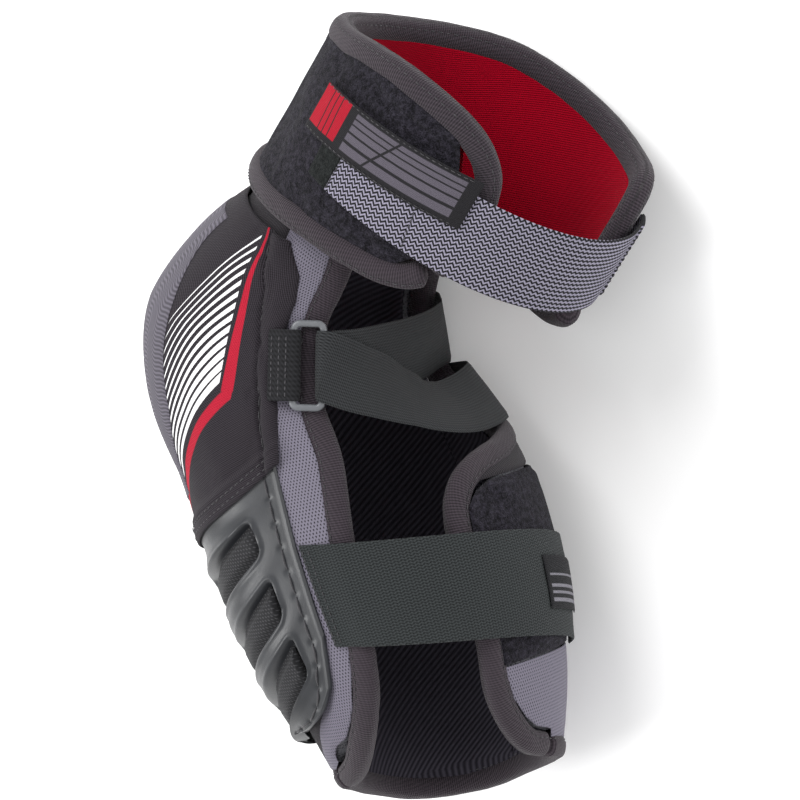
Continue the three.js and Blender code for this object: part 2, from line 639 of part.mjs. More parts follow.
function freePath(samples) {
  const onSleeve = ([v, angle, d]) => sleeve(angle, v, d);
  const curve = new THREE.CatmullRomCurve3(FREE_PATH.map(onSleeve), false, "centripetal");
  const guide = new THREE.CatmullRomCurve3(
    FREE_PATH.map(([v, angle]) => normalOf(sleeve, angle, v, 0)), false, "centripetal");
  const points = curve.getSpacedPoints(samples);
  const normals = points.map((_, k) => {
    const u = curve.getUtoTmapping(k / samples);
    return guide.getPoint(u).normalize();
  });
  return { points, normals };
}

// The free run leaves the ring, crosses the opening downwards and wraps the wing's top.
const FREE_PATH = [[5.72, -49, 7.2], [5.55, -42, 5], [5.2, -30, -0.4], [4.82, -18, -5],
  [4.54, -8, -7], [4.4, 5, -7], [4.42, 20, -3.5], [4.5, 34, 1.6], [4.52, 45, 3.4],
  [4.48, 58, 3.4], [4.45, 68, 3.2], [4.45, 78, 2.3]];
const freeRun = freePath(20);
bar("elbow_strap_free_run", {
  points: freeRun.points,
  normals: freeRun.normals,
  width: ELBOW_STRAP_WIDTH, thickness: WEBBING, box: true, color: 0x26282a,
});

// ---------------------------------------------------------------- bicep strap
const BICEP_S = 59;
const bicepRows = strapRows(BICEP_STRAP_WIDTH, BICEP_S);
plate("bicep_strap", {
  surface: cuff, rows: bicepRows, columns: 18, ends: () => [-100, 30],
  inner: 3.2, outer: 3.2 + WEBBING, color: 0x77757f,
});
plate("bicep_strap_tab", {
  surface: cuff, rows: bicepRows, columns: 1,
  ends: (s) => [-108 + 0.09 * (s - BICEP_S + BICEP_STRAP_WIDTH / 2) - 0.4, -100.6],
  inner: 3, outer: 3.2 + WEBBING, color: 0x2b2b30,
});
plate("bicep_strap_hook", {
  surface: cuff, rows: strapRows(BICEP_STRAP_WIDTH - 4, BICEP_S), columns: 4,
  ends: () => [-99, -70], inner: 1.5, outer: 2.7, color: 0x222225,
});
plate("bicep_label", {
  surface: cuff, rows: [0, 0.5, 1], columns: 12, ends: () => [-119, -58.5],
  place: (a, t) => [a, 53.5 + 0.14 * (a + 119) + 23 * t],
  inner: 3.2 + WEBBING + 0.6, outer: 3.2 + WEBBING + 1.4, color: 0x3a3a40,
});

export default pad;
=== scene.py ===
import json
import math

import bpy
import numpy as np
from mathutils import Matrix, Vector


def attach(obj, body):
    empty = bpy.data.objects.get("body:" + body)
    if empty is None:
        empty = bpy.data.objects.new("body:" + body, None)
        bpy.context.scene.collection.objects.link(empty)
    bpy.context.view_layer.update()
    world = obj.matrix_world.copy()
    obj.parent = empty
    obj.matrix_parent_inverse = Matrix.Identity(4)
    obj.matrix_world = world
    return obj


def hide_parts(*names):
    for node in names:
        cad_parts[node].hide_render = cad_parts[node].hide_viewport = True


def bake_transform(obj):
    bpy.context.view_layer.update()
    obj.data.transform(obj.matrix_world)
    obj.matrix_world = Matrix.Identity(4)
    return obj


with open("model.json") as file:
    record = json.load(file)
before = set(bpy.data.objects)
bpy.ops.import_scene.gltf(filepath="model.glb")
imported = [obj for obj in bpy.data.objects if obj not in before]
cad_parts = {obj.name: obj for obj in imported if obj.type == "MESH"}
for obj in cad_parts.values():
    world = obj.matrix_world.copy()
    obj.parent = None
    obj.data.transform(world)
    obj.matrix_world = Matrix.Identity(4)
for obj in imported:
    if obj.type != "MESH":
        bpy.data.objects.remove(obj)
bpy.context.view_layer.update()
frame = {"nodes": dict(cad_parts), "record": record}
record = frame["record"]
mounts = {m["name"]: m for m in record["mounts"]}
ORIGIN = np.array(mounts["forearm_channel"]["pos_m"])

# ---------------------------------------------------------------- driving dimensions
# Sleeve sections: centre (x, z), tilt, front, back and side radii, as in the CAD.
STATIONS = np.array([
    [8, 0, 0, 48, 47, 46],
    [8, 36, 0, 58, 56, 57],
    [5, 76, 0, 67, 64, 65],
    [1, 116, 0, 70, 66, 67],
    [-4, 148, 2, 67, 64, 66],
    [-8, 176, 9, 60, 66, 64],
    [-3, 202, 22, 56, 67, 61],
    [10, 222, 37, 54, 55, 57],
    [26, 236, 50, 55, 45, 51.5],
    [39, 247, 50, 56, 40, 49],
])
CUFF_TILT = 50
CUFF_BASE = (40.3, 0, 220.8)
CUFF_FRONT, CUFF_BACK = 79, 73
CUFF_INNER_SIDE, CUFF_OUTER_SIDE = 66, 65.3
BACK, FLANK, OUTER_FLANK = -180, 93, 78
SEAM = 81
WEBBING = 1.4
TAPE_WIDTH, TAPE_THICK, TAPE_OFFSET = 11.2, 9.8, -3.2
LINING, FOAM, SKIN = (-7.7, -6.6), (-6, -1.4), (0, 0.9)

MEDIAL_EDGE = [(0.355, -128), (0.4, -120.5), (0.53, -109.5), (0.8, -98), (1.15, -88), (1.5, -82),
               (2, -77), (3, -71.5), (4, -64.5), (5, -61.5), (6, -60.5), (7, -62), (8, -66.5),
               (8.8, -70)]
WING_EDGE = [(0.18, 2), (0.3, -12), (0.5, -20), (0.8, -26), (1.1, -28), (1.6, -27.5), (2.2, -28),
             (2.7, -28.5), (3, -26), (3.25, -20), (3.42, -10), (3.55, 10), (3.7, 30), (3.95, 48),
             (4.4, 62), (5, 69), (6, 72), (7, 73), (8, 74), (8.8, 75)]
RIM_LINE = [(-358, 0.17), (-340, 0.1), (-310, -0.01), (-283, -0.12), (-261, -0.21),
            (-242, -0.22), (-224, -0.19), (-206, -0.11), (-187, 0.04), (-173, 0.15),
            (-162, 0.24), (-150, 0.3), (-135, 0.345), (-128, 0.355)]
MEDIAL_FOAM_EDGE = [(0.335, -122), (0.6, -105.5), (0.9, -98.8), (1.23, -93.4), (1.55, -87.8),
                    (2, -82.8), (3, -77.4), (4, -70.8), (5, -67.8), (6, -67.2), (7, -69),
                    (8, -73.6), (8.8, -77.4)]
WING_FOAM_EDGE = [(0.335, 5), (0.435, -7.6), (0.59, -14.2), (0.85, -20.2), (1.12, -22),
                  (1.6, -21.6), (2.2, -22), (2.6, -22.2), (2.93, -20.8), (3.08, -16.2),
                  (3.19, -8.5), (3.3, 11), (3.45, 31.6), (3.66, 50), (4.15, 69)]
MESH_BACK = [(0.35, -140), (0.9, -118), (1.4, -100), (2, -93.5), (4, -91), (4.6, -84),
             (6, -84), (8.4, -96)]


# ---------------------------------------------------------------- surfaces
def place(x, y, z):
    return np.stack([x, z, -y], -1) / 1000 + ORIGIN


def table(pairs, x):
    pairs = sorted(pairs)
    return np.interp(x, [p[0] for p in pairs], [p[1] for p in pairs])


def smooth(t):
    u = np.clip(t, 0, 1)
    return u * u * (3 - 2 * u)


def station(v):
    v = np.asarray(v, float)
    last = len(STATIONS) - 1
    i = np.clip(np.floor(v).astype(int), 0, last - 1)
    t = (v - i)[..., None]
    b, c = STATIONS[i], STATIONS[i + 1]
    a = np.where((i > 0)[..., None], STATIONS[np.maximum(i - 1, 0)], 2 * b - c)
    d = np.where((i + 2 <= last)[..., None], STATIONS[np.minimum(i + 2, last)], 2 * c - b)
    out = 0.5 * (2 * b + (c - a) * t + (2 * a - 5 * b + 4 * c - d) * t**2
                 + (3 * b - a - 3 * c + d) * t**3)
    return [out[..., k] for k in range(6)]


def sleeve(angle, v, offset=0.0):
    """A point of the sleeve: angle in degrees from +x towards +y, station, offset out."""
    angle, v, offset = np.broadcast_arrays(*map(np.asarray, (angle, v, offset)))
    x, z, tilt, front, back, side = station(v)
    cos, sin = np.cos(np.radians(angle)), np.sin(np.radians(angle))
    reach = (np.where(cos > 0, front, back) + offset) * cos
    tilt = np.radians(tilt)
    return place(x + reach * np.cos(tilt), (side + offset) * sin, z - reach * np.sin(tilt))


def cuff(angle, s, offset=0.0):
    """A point of the cuff: angle as above, s millimetres along its axis, offset out."""
    angle, s, offset = np.broadcast_arrays(*map(np.asarray, (angle, s, offset)))
    cos, sin = np.cos(np.radians(angle)), np.sin(np.radians(angle))
    reach = (np.where(cos > 0, CUFF_FRONT, CUFF_BACK) + offset) * cos
    side = np.where(sin > 0, CUFF_OUTER_SIDE, CUFF_INNER_SIDE) + offset
    up, out = math.sin(math.radians(CUFF_TILT)), math.cos(math.radians(CUFF_TILT))
    return place(CUFF_BASE[0] + s * up + reach * out, side * sin,
                 CUFF_BASE[2] + s * out - reach * up)


def normal_of(surface, angle, v, offset=0.0):
    step = 0.02 if surface is sleeve else 1.0
    around = surface(angle + 0.5, v, offset) - surface(angle - 0.5, v, offset)
    up = surface(angle, v + step, offset) - surface(angle, v - step, offset)
    n = np.cross(around, up)
    return n / np.linalg.norm(n, axis=-1, keepdims=True)


def back_height(angle, v):
    c = np.abs(angle - BACK)
    middle = table([(0, 4), (0.7, 6), (1.6, 9), (3.4, 9.4), (4.2, 9), (5.2, 11.5), (6.2, 11.5),
                    (7, 8), (7.9, 3.4), (8.6, 2.6)], v)
    flank = np.where(angle < BACK, OUTER_FLANK, FLANK)
    return 2.9 + (middle - 2.9) * smooth((flank + 2 - c) / 42)


FOOT_ROW, LEVEL_ROW = 0.335, 1.2


def to_rim(angle, row):
    """Rows below the forearm's middle are drawn out to meet the dipping wrist rim."""
    wrapped = np.where(angle > -40, angle - 360, angle)
    foot = table(RIM_LINE + [(-121, 0.43), (-114, 0.53)], wrapped) + 0.18
    t = (row - FOOT_ROW) / (LEVEL_ROW - FOOT_ROW)
    return np.where(row >= LEVEL_ROW, row, foot + (LEVEL_ROW - foot) * t)


AXIS_STEPS = np.hypot(np.diff(STATIONS[:, 0]), np.diff(STATIONS[:, 1]))
AXIS_LENGTH = np.concatenate([[0], np.cumsum(AXIS_STEPS)])


def cloth_uv(surface, angle, v):
    """Cloth coordinates in metres: round the arm, and along it."""
    angle, v = np.broadcast_arrays(angle, v)
    if surface is sleeve:
        return np.stack([np.radians(angle) * 0.066,
                         np.interp(v, np.arange(len(AXIS_LENGTH)), AXIS_LENGTH) / 1000], -1)
    return np.stack([np.radians(angle) * 0.072, v / 1000], -1)


# ---------------------------------------------------------------- smooth repeatable noise
def lattice(i, j, seed):
    h = np.sin(i * 127.1 + j * 311.7 + seed * 74.7) * 43758.5453
    return h - np.floor(h)


def ripple(u, v, seed=0):
    """Smooth noise from -1 to 1 with features about one unit across."""
    i, j = np.floor(u), np.floor(v)
    x, y = smooth(u - i), smooth(v - j)
    low = lattice(i, j, seed) * (1 - x) + lattice(i + 1, j, seed) * x
    high = lattice(i, j + 1, seed) * (1 - x) + lattice(i + 1, j + 1, seed) * x
    return 2 * (low * (1 - y) + high * y) - 1


# ---------------------------------------------------------------- mesh builders
def new_mesh(name, vertices, faces, uv=None, print_uv=None, sharp=50):
    """A smooth mesh object of four-sided faces; edges over sharp degrees stay sharp."""
    vertices, faces = np.asarray(vertices, float), np.asarray(faces)
    used, faces = np.unique(faces, return_inverse=True)
    faces = faces.reshape(-1, 4)
    mesh = bpy.data.meshes.new(name)
    mesh.from_pydata(vertices[used].tolist(), [], faces.tolist())
    loops = np.empty(len(mesh.loops), int)
    mesh.loops.foreach_get("vertex_index", loops)
    for label, values in (("cloth", uv), ("print", print_uv)):
        if values is not None:
            layer = mesh.uv_layers.new(name=label)
            layer.data.foreach_set("uv", np.asarray(values)[used][loops].astype("f").ravel())
    mesh.shade_smooth()
    mesh.set_sharp_from_angle(angle=math.radians(sharp))
    obj = bpy.data.objects.new(name, mesh)
    bpy.context.scene.collection.objects.link(obj)
    return obj


def twice(uv):
    """One skin's cloth coordinates, repeated for the skin behind it."""
    return None if uv is None else np.concatenate([uv.reshape(-1, 2)] * 2)


def closed_grid(name, outer, inner, uv, keep=None, print_uv=None, sharp=50):
    """A closed skin between two grids of points; keep leaves out cells."""
    m, n = outer.shape[:2]
    kept = np.ones((m - 1, n - 1), bool) if keep is None else keep
    index = np.arange(m * n).reshape(m, n)
    p, q, r, s = index[:-1, :-1], index[:-1, 1:], index[1:, 1:], index[1:, :-1]
    faces = [np.stack([p, q, r, s], -1)[kept], np.stack([s, r, q, p], -1)[kept] + m * n]
    ring = np.pad(kept, 1)
    sides = [(p, q, ring[:-2, 1:-1]), (q, r, ring[1:-1, 2:]), (r, s, ring[2:, 1:-1]),
             (s, p, ring[1:-1, :-2])]
    for a, b, beside in sides:
        open_edge = kept & ~beside
        a, b = a[open_edge], b[open_edge]
        faces.append(np.stack([a + m * n, b + m * n, b, a], -1))
    points = np.concatenate([outer.reshape(-1, 3), inner.reshape(-1, 3)])
    return new_mesh(name, points, np.concatenate(faces), twice(uv), twice(print_uv), sharp)


def sweep(name, points, normals, section, uv_width, closed=False):
    """A closed outline in (across, normal) millimetres carried along a path."""
    points, normals = np.asarray(points), np.asarray(normals)
    _, across, normals = frames(points, normals, closed)
    section = np.asarray(section, float) / 1000
    section = np.broadcast_to(section, (len(points),) + section.shape[-2:])
    ring = (points[:, None] + across[:, None] * section[..., :1]
            + normals[:, None] * section[..., 1:])
    count, m = ring.shape[:2]
    index = np.arange(count * m).reshape(count, m)
    a, b = index, np.roll(index, -1, 1)
    rows = count if closed else count - 1
    after = np.roll(index, -1, 0)[:rows]
    faces = [np.stack([a[:rows], b[:rows], np.roll(after, -1, 1), after], -1).reshape(-1, 4)]
    vertices = ring.reshape(-1, 3)
    length = np.concatenate([[0], np.cumsum(np.linalg.norm(np.diff(points, axis=0), axis=1))])
    girth = np.linspace(0, uv_width * 2.6, m, endpoint=False)
    uv = np.stack(np.broadcast_arrays(length[:, None], girth[None]), -1).reshape(-1, 2)
    if not closed:
        middles = [ring[0].mean(0), ring[-1].mean(0)]
        vertices = np.concatenate([vertices, middles])
        uv = np.concatenate([uv, [[0, 0], [length[-1], 0]]])
        start, end = count * m, count * m + 1
        k = np.arange(m)
        half = k[::2]
        faces.append(np.stack([np.full(len(half), start), (half + 2) % m, (half + 1) % m, half],
                              -1))
        last = (count - 1) * m
        faces.append(np.stack([np.full(len(half), end), last + half, last + (half + 1) % m,
                               last + (half + 2) % m], -1))
    return new_mesh(name, vertices, np.concatenate(faces), uv, None, 60)


def frames(points, normals, closed=False):
    """Unit vectors along a path, across it, and square to both."""
    if closed:
        along = np.roll(points, -1, 0) - np.roll(points, 1, 0)
    else:
        along = np.gradient(points, axis=0)
    along = along / np.linalg.norm(along, axis=1, keepdims=True)
    normals = normals - along * np.sum(normals * along, 1, keepdims=True)
    normals = normals / np.linalg.norm(normals, axis=1, keepdims=True)
    return along, np.cross(normals, along), normals


def centripetal(pairs, steps):
    """A centripetal Catmull-Rom curve through the points, at equal steps of length."""
    p = np.asarray(pairs, float)
    p = np.concatenate([[2 * p[0] - p[1]], p, [2 * p[-1] - p[-2]]])
    out = []
    for k in range(1, len(p) - 2):
        t = [0.0]
        for a, b in zip(p[k - 1:k + 2], p[k:k + 3]):
            t.append(t[-1] + max(np.linalg.norm(b - a), 1e-6) ** 0.5)
        x = np.linspace(t[1], t[2], 24, endpoint=k == len(p) - 3)[:, None]
        a1 = (t[1] - x) / (t[1] - t[0]) * p[k - 1] + (x - t[0]) / (t[1] - t[0]) * p[k]
        a2 = (t[2] - x) / (t[2] - t[1]) * p[k] + (x - t[1]) / (t[2] - t[1]) * p[k + 1]
        a3 = (t[3] - x) / (t[3] - t[2]) * p[k + 1] + (x - t[2]) / (t[3] - t[2]) * p[k + 2]
        b1 = (t[2] - x) / (t[2] - t[0]) * a1 + (x - t[0]) / (t[2] - t[0]) * a2
        b2 = (t[3] - x) / (t[3] - t[1]) * a2 + (x - t[1]) / (t[3] - t[1]) * a3
        out.append((t[2] - x) / (t[2] - t[1]) * b1 + (x - t[1]) / (t[2] - t[1]) * b2)
    dense = np.concatenate(out)
    length = np.concatenate([[0], np.cumsum(np.linalg.norm(np.diff(dense, axis=0), axis=1))])
    even = np.linspace(0, length[-1], steps + 1)
    return np.stack([np.interp(even, length, dense[:, k]) for k in range(p.shape[1])], -1)


def path_on(surface, pairs, offset, steps):
    """Points and normals along (v, angle) pairs on a surface."""
    unit = 36 if surface is sleeve else 1
    curve = centripetal([(a, v * unit) for v, a in pairs], steps)
    angle, v = curve[:, 0], curve[:, 1] / unit
    return surface(angle, v, offset), normal_of(surface, angle, v, offset)


def spread(count, ends=0.45):
    """0 to 1 in steps that are finer at both ends."""
    x = np.linspace(0, 1, count)
    return (1 - ends) * x + ends * (0.5 - 0.5 * np.cos(np.pi * x))


def edge_distance(points):
    """Millimetres from each grid point to the nearest edge of the grid."""
    out = np.full(points.shape[:2], 1e9)
    for axis in (0, 1):
        step = np.linalg.norm(np.diff(points, axis=axis), axis=-1) * 1000
        pad = [(0, 0), (0, 0)]
        pad[axis] = (1, 0)
        length = np.pad(np.cumsum(step, axis), pad)
        total = np.take(length, [-1], axis)
        out = np.minimum(out, np.minimum(length, total - length))
    return out


def cloth_lift(points, most=1.4, rows=44, columns=56):
    """Millimetres that cloth sewn down along its edges rises under a little air pressure."""
    i = np.linspace(0, points.shape[0] - 1, rows)
    j = np.linspace(0, points.shape[1] - 1, columns)
    coarse = points[np.round(i).astype(int)][:, np.round(j).astype(int)]
    index = np.arange(rows * columns).reshape(rows, columns)
    faces = np.stack([index[:-1, :-1], index[:-1, 1:], index[1:, 1:], index[1:, :-1]], -1)
    mesh = bpy.data.meshes.new("cloth_sheet")
    mesh.from_pydata(coarse.reshape(-1, 3).tolist(), [], faces.reshape(-1, 4).tolist())
    sheet = bpy.data.objects.new("cloth_sheet", mesh)
    bpy.context.scene.collection.objects.link(sheet)
    sewn = np.concatenate([index[0], index[-1], index[:, 0], index[:, -1]])
    sheet.vertex_groups.new(name="sewn").add(np.unique(sewn).tolist(), 1.0, "REPLACE")
    cloth = sheet.modifiers.new("cloth", "CLOTH")
    settings = cloth.settings
    settings.quality = 6
    settings.mass = 0.1
    settings.tension_stiffness = settings.compression_stiffness = 12
    settings.shear_stiffness = 4
    settings.bending_stiffness = 0.05
    settings.shrink_min = -0.025
    settings.use_pressure = True
    settings.uniform_pressure_force = 4
    settings.vertex_group_mass = "sewn"
    settings.effector_weights.gravity = 0
    cloth.collision_settings.use_collision = False
    cloth.point_cache.frame_start, cloth.point_cache.frame_end = 1, 20
    scene = bpy.context.scene
    for step in range(1, 21):
        scene.frame_set(step)
    done = sheet.evaluated_get(bpy.context.evaluated_depsgraph_get()).data
    moved = np.empty(rows * columns * 3, "f")
    done.vertices.foreach_get("co", moved)
    scene.frame_set(1)
    bpy.data.objects.remove(sheet)
    across = np.cross(np.gradient(coarse, axis=1), np.gradient(coarse, axis=0))
    across = across / np.linalg.norm(across, axis=-1, keepdims=True)
    rise = np.sum((moved.reshape(coarse.shape) - coarse) * across, -1) * 1000
    rise = np.abs(np.median(rise)) + rise - np.median(rise)
    rise = np.clip(rise - rise.mean(), -most, most)
    half = np.stack([np.interp(np.arange(points.shape[1]), j, row) for row in rise])
    return np.stack([np.interp(np.arange(points.shape[0]), i, column) for column in half.T], -1)


def finish_piece(obj, look, node=None, body="sleeve"):
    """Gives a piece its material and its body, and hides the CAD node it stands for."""
    obj.data.materials.append(look)
    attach(obj, body)
    if node:
        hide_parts(node)
    return obj


def layer(name, surface, angle, v, inner, outer, rounding=1.0, swell=0.0, wrinkle=0.0,
          print_uv=None, seed=1, blown=0.0):
    """A closed layer of cloth or foam on a surface, with rounded edges; blown adds the
    simulated rise of its cloth, at most so many millimetres."""
    angle, v = np.broadcast_arrays(angle, v)
    base = surface(angle, v, outer)
    edge = edge_distance(base)
    if blown:
        outer = outer + cloth_lift(base, blown) * smooth(edge / 6)
    t = np.clip(edge / rounding, 0, 1)
    full = np.sqrt(np.clip(1 - (1 - t) ** 2, 0.02, 1))
    uv = cloth_uv(surface, angle, v)
    outer = outer + swell * smooth(edge / 9)
    outer = outer + wrinkle * (ripple(uv[..., 0] * 45, uv[..., 1] * 70, seed)
                               + 0.5 * ripple(uv[..., 0] * 120, uv[..., 1] * 90, seed + 3))
    middle = (inner + outer) / 2
    out = surface(angle, v, middle + (outer - middle) * full)
    low = surface(angle, v, middle + (inner - middle) * full)
    return closed_grid(name, out, low, uv, None, print_uv)


def stitches(name, points, normals, look, body, length=2.4, gap=1.2, radius=0.32, sink=0.35):
    """Thread along a path, as short bent rolls that dive into the cloth at each end."""
    points = np.asarray(points, float)
    normals = np.asarray(normals, float)
    run = np.concatenate([[0], np.cumsum(np.linalg.norm(np.diff(points, axis=0), axis=1))])
    run = run * 1000
    count = int(run[-1] // (length + gap))
    rings, sides = 5, 6
    turn = np.arange(sides) * 2 * math.pi / sides
    vertices, faces = [], []
    for k in range(count):
        start = k * (length + gap) + gap / 2
        s = start + length * np.linspace(0, 1, rings)
        p = np.stack([np.interp(s, run, points[:, c]) for c in range(3)], -1)
        n = np.stack([np.interp(s, run, normals[:, c]) for c in range(3)], -1)
        _, across, n = frames(p, n)
        arch = np.sin(np.linspace(0.12, math.pi - 0.12, rings))
        size = radius / 1000 * (0.45 + 0.55 * arch)[:, None, None]
        p = p + n * (radius * (1 + sink) * arch[:, None] - radius * sink) / 1000
        ring = p[:, None] + size * (across[:, None] * np.cos(turn)[None, :, None]
                                    + n[:, None] * np.sin(turn)[None, :, None])
        base = len(vertices) * rings * sides
        index = base + np.arange(rings * sides).reshape(rings, sides)
        a, b = index[:-1], np.roll(index, -1, 1)[:-1]
        c, d = np.roll(index, -1, 1)[1:], index[1:]
        faces.append(np.stack([a, b, c, d], -1).reshape(-1, 4))
        faces.append(np.array([[index[0, 5], index[0, 4], index[0, 1], index[0, 0]],
                               [index[0, 4], index[0, 3], index[0, 2], index[0, 1]],
                               [index[-1, 0], index[-1, 1], index[-1, 4], index[-1, 5]],
                               [index[-1, 1], index[-1, 2], index[-1, 3], index[-1, 4]]]))
        vertices.append(ring.reshape(-1, 3))
    obj = new_mesh(name, np.concatenate(vertices), np.concatenate(faces), None, None, 80)
    return finish_piece(obj, look, body=body)


# ---------------------------------------------------------------- materials
def srgb(r, g, b):
    """Linear colour from 0 to 255 display values."""
    def one(x):
        x = x / 255
        return x / 12.92 if x <= 0.04045 else ((x + 0.055) / 1.055) ** 2.4
    return (one(r), one(g), one(b), 1.0)


class Look:
    """A small wrapper that writes one procedural material."""

    def __init__(self, name, rough, sheen=0.0, coat=0.0, specular=0.5):
        self.material = bpy.data.materials.new(name)
        self.material.use_nodes = True
        self.tree = self.material.node_tree
        self.shader = self.tree.nodes["Principled BSDF"]
        for socket, value in (("Roughness", rough), ("Sheen Weight", sheen),
                              ("Sheen Roughness", 0.45), ("Coat Weight", coat),
                              ("Coat Roughness", 0.2), ("Specular IOR Level", specular)):
            self.shader.inputs[socket].default_value = value

    def put(self, socket, value):
        if hasattr(value, "is_output"):
            self.tree.links.new(value, socket)
        else:
            socket.default_value = value

    def math(self, operation, a, b=0.0, c=0.0):
        node = self.tree.nodes.new("ShaderNodeMath")
        node.operation = operation
        for socket, value in zip(node.inputs, (a, b, c)):
            self.put(socket, value)
        return node.outputs[0]

    def add(self, a, b):
        return self.math("ADD", a, b)

    def sub(self, a, b):
        return self.math("SUBTRACT", a, b)

    def mul(self, a, b):
        return self.math("MULTIPLY", a, b)

    def wave(self, x, period):
        """0 to 1 ripples along x, one every period metres."""
        turn = self.math("SINE", self.mul(x, 2 * math.pi / period))
        return self.math("MULTIPLY_ADD", turn, 0.5, 0.5)

    def step(self, low, high, x):
        node = self.tree.nodes.new("ShaderNodeMapRange")
        node.interpolation_type = "SMOOTHSTEP"
        for socket, value in zip(node.inputs, (x, low, high, 0.0, 1.0)):
            self.put(socket, value)
        return node.outputs[0]

    def band(self, x, low, high, soft):
        rise = self.step(low - soft, low + soft, x)
        fall = self.step(high - soft, high + soft, x)
        return self.math("SUBTRACT", rise, fall)

    def bands(self, x, *spans):
        """The highest of several bands across x, each of them (low, high, soft)."""
        total = self.band(x, *spans[0])
        for span in spans[1:]:
            total = self.math("MAXIMUM", total, self.band(x, *span))
        return total

    def uv(self, name="cloth"):
        node = self.tree.nodes.new("ShaderNodeUVMap")
        node.uv_map = name
        split = self.tree.nodes.new("ShaderNodeSeparateXYZ")
        self.tree.links.new(node.outputs[0], split.inputs[0])
        return split.outputs[0], split.outputs[1]

    def texture(self, kind, **values):
        """The first output of a texture node in object coordinates."""
        spot = self.tree.nodes.new("ShaderNodeTexCoord")
        node = self.tree.nodes.new(kind)
        self.tree.links.new(spot.outputs["Object"], node.inputs["Vector"])
        for socket, value in values.items():
            node.inputs[socket].default_value = value
        return node.outputs[0]

    def noise(self, scale, detail=3.0, roughness=0.6):
        return self.texture("ShaderNodeTexNoise", Scale=scale, Detail=detail,
                            Roughness=roughness)

    def mix(self, factor, a, b):
        node = self.tree.nodes.new("ShaderNodeMix")
        node.data_type = "RGBA"
        self.put(node.inputs[0], factor)
        self.put(node.inputs[6], a)
        self.put(node.inputs[7], b)
        return node.outputs[2]

    def color(self, value):
        self.put(self.shader.inputs["Base Color"], value)

    def rough(self, value):
        self.put(self.shader.inputs["Roughness"], value)

    def bump(self, height, distance, strength=1.0):
        node = self.tree.nodes.new("ShaderNodeBump")
        node.inputs["Strength"].default_value = strength
        node.inputs["Distance"].default_value = distance
        self.tree.links.new(height, node.inputs["Height"])
        self.tree.links.new(node.outputs[0], self.shader.inputs["Normal"])


def fabric_tone(look, dark, light, weave, blotch=9, share=0.35):
    """Colour from the weave's height, with broad wear and dust variation on top."""
    base = look.mix(weave, dark, light)
    drift = look.step(0.35, 0.75, look.noise(blotch, 4))
    return look.mix(look.mul(drift, share), base, light)


def twill(period, lean=1.0):
    """Waves of a twill: its diagonal, and the grain across it."""
    return (0.7, period, 1.0, lean), (0.3, 0.85 * period, -0.35, 1.0)


def weave_height(look, waves):
    """Height of a weave from waves of (share, period, how far u counts, how far v counts)."""
    u, v = look.uv()
    total = 0.0
    for share, period, along_u, along_v in waves:
        slant = look.add(look.mul(u, along_u), look.mul(v, along_v))
        total = look.add(look.mul(look.wave(slant, period), share), total)
    return total


def cloth_look(name, dark, light, waves, rough, sheen=0.1, specular=0.2, blotch=12, share=0.3,
               depth=0.0003, fuzz=0.0):
    look = Look(name, rough, sheen=sheen, specular=specular)
    height = weave_height(look, waves)
    look.color(fabric_tone(look, dark, light, height, blotch, share))
    if fuzz:
        height = look.add(height, look.mul(look.noise(2600, 2), fuzz))
    look.bump(height, depth)
    return look.material


def lining_look(name, dark, light, period):
    waves = (0.75, period, 0.55, 1.0), (0.25, 0.0009, 1.0, -0.2)
    return cloth_look(name, dark, light, waves, 0.9, 0.02, 0.06, 11, 0.25, 0.0004)


def mesh_look():
    """Spacer mesh: fine holes in rows, each row half a step along."""
    look = Look("spacer_mesh", 0.85, sheen=0.08, specular=0.2)
    u, v = look.uv()
    p = 0.0014
    row = look.wave(v, p)
    left = look.wave(look.add(u, look.mul(v, 0.5)), p)
    right = look.wave(look.sub(u, look.mul(v, 0.5)), p)
    holes = look.mul(left, right)
    yarn = look.sub(1.0, look.step(0.45, 0.8, look.add(look.mul(holes, 0.8), look.mul(row, 0.3))))
    look.color(fabric_tone(look, srgb(40, 38, 45), srgb(112, 108, 121), yarn, 20, 0.12))
    look.bump(yarn, 0.0004)
    return look.material


def pile_look(name, dark, light):
    """Loop pile: a dense, fuzzy field of tiny curls."""
    look = Look(name, 0.95, sheen=0.05, specular=0.08)
    curls = look.noise(1500, 3, 0.7)
    tufts = look.noise(420, 3, 0.65)
    fuzz = look.add(look.mul(curls, 0.6), look.mul(tufts, 0.6))
    high = look.step(0.45, 0.85, fuzz)
    look.color(look.mix(high, dark, light))
    look.bump(fuzz, 0.0016)
    return look.material


def webbing_look(name, dark, light, period):
    waves = (0.45, 1.15 * period, 0.0, 1.0), (0.55, period, 1.0, 0.8)
    return cloth_look(name, dark, light, waves, 0.8, 0.05, 0.2, 16, 0.25)


def elastic_look():
    """Woven elastic of the forearm strap: columns of small chevrons across the width."""
    look = Look("woven_elastic", 0.85, sheen=0.05, specular=0.2)
    u, v = look.uv()
    column = 0.0026
    sway = look.math("ABSOLUTE", look.sub(look.math("FRACT", look.mul(u, 1 / column)), 0.5))
    teeth = look.wave(look.add(v, look.mul(sway, 0.0013)), 0.00125)
    edge = look.wave(u, column / 2)
    weave = look.add(look.mul(teeth, 0.65), look.mul(edge, 0.35))
    look.color(fabric_tone(look, srgb(18, 20, 21), srgb(58, 62, 63), weave, 15, 0.1))
    look.bump(weave, 0.00045)
    return look.material


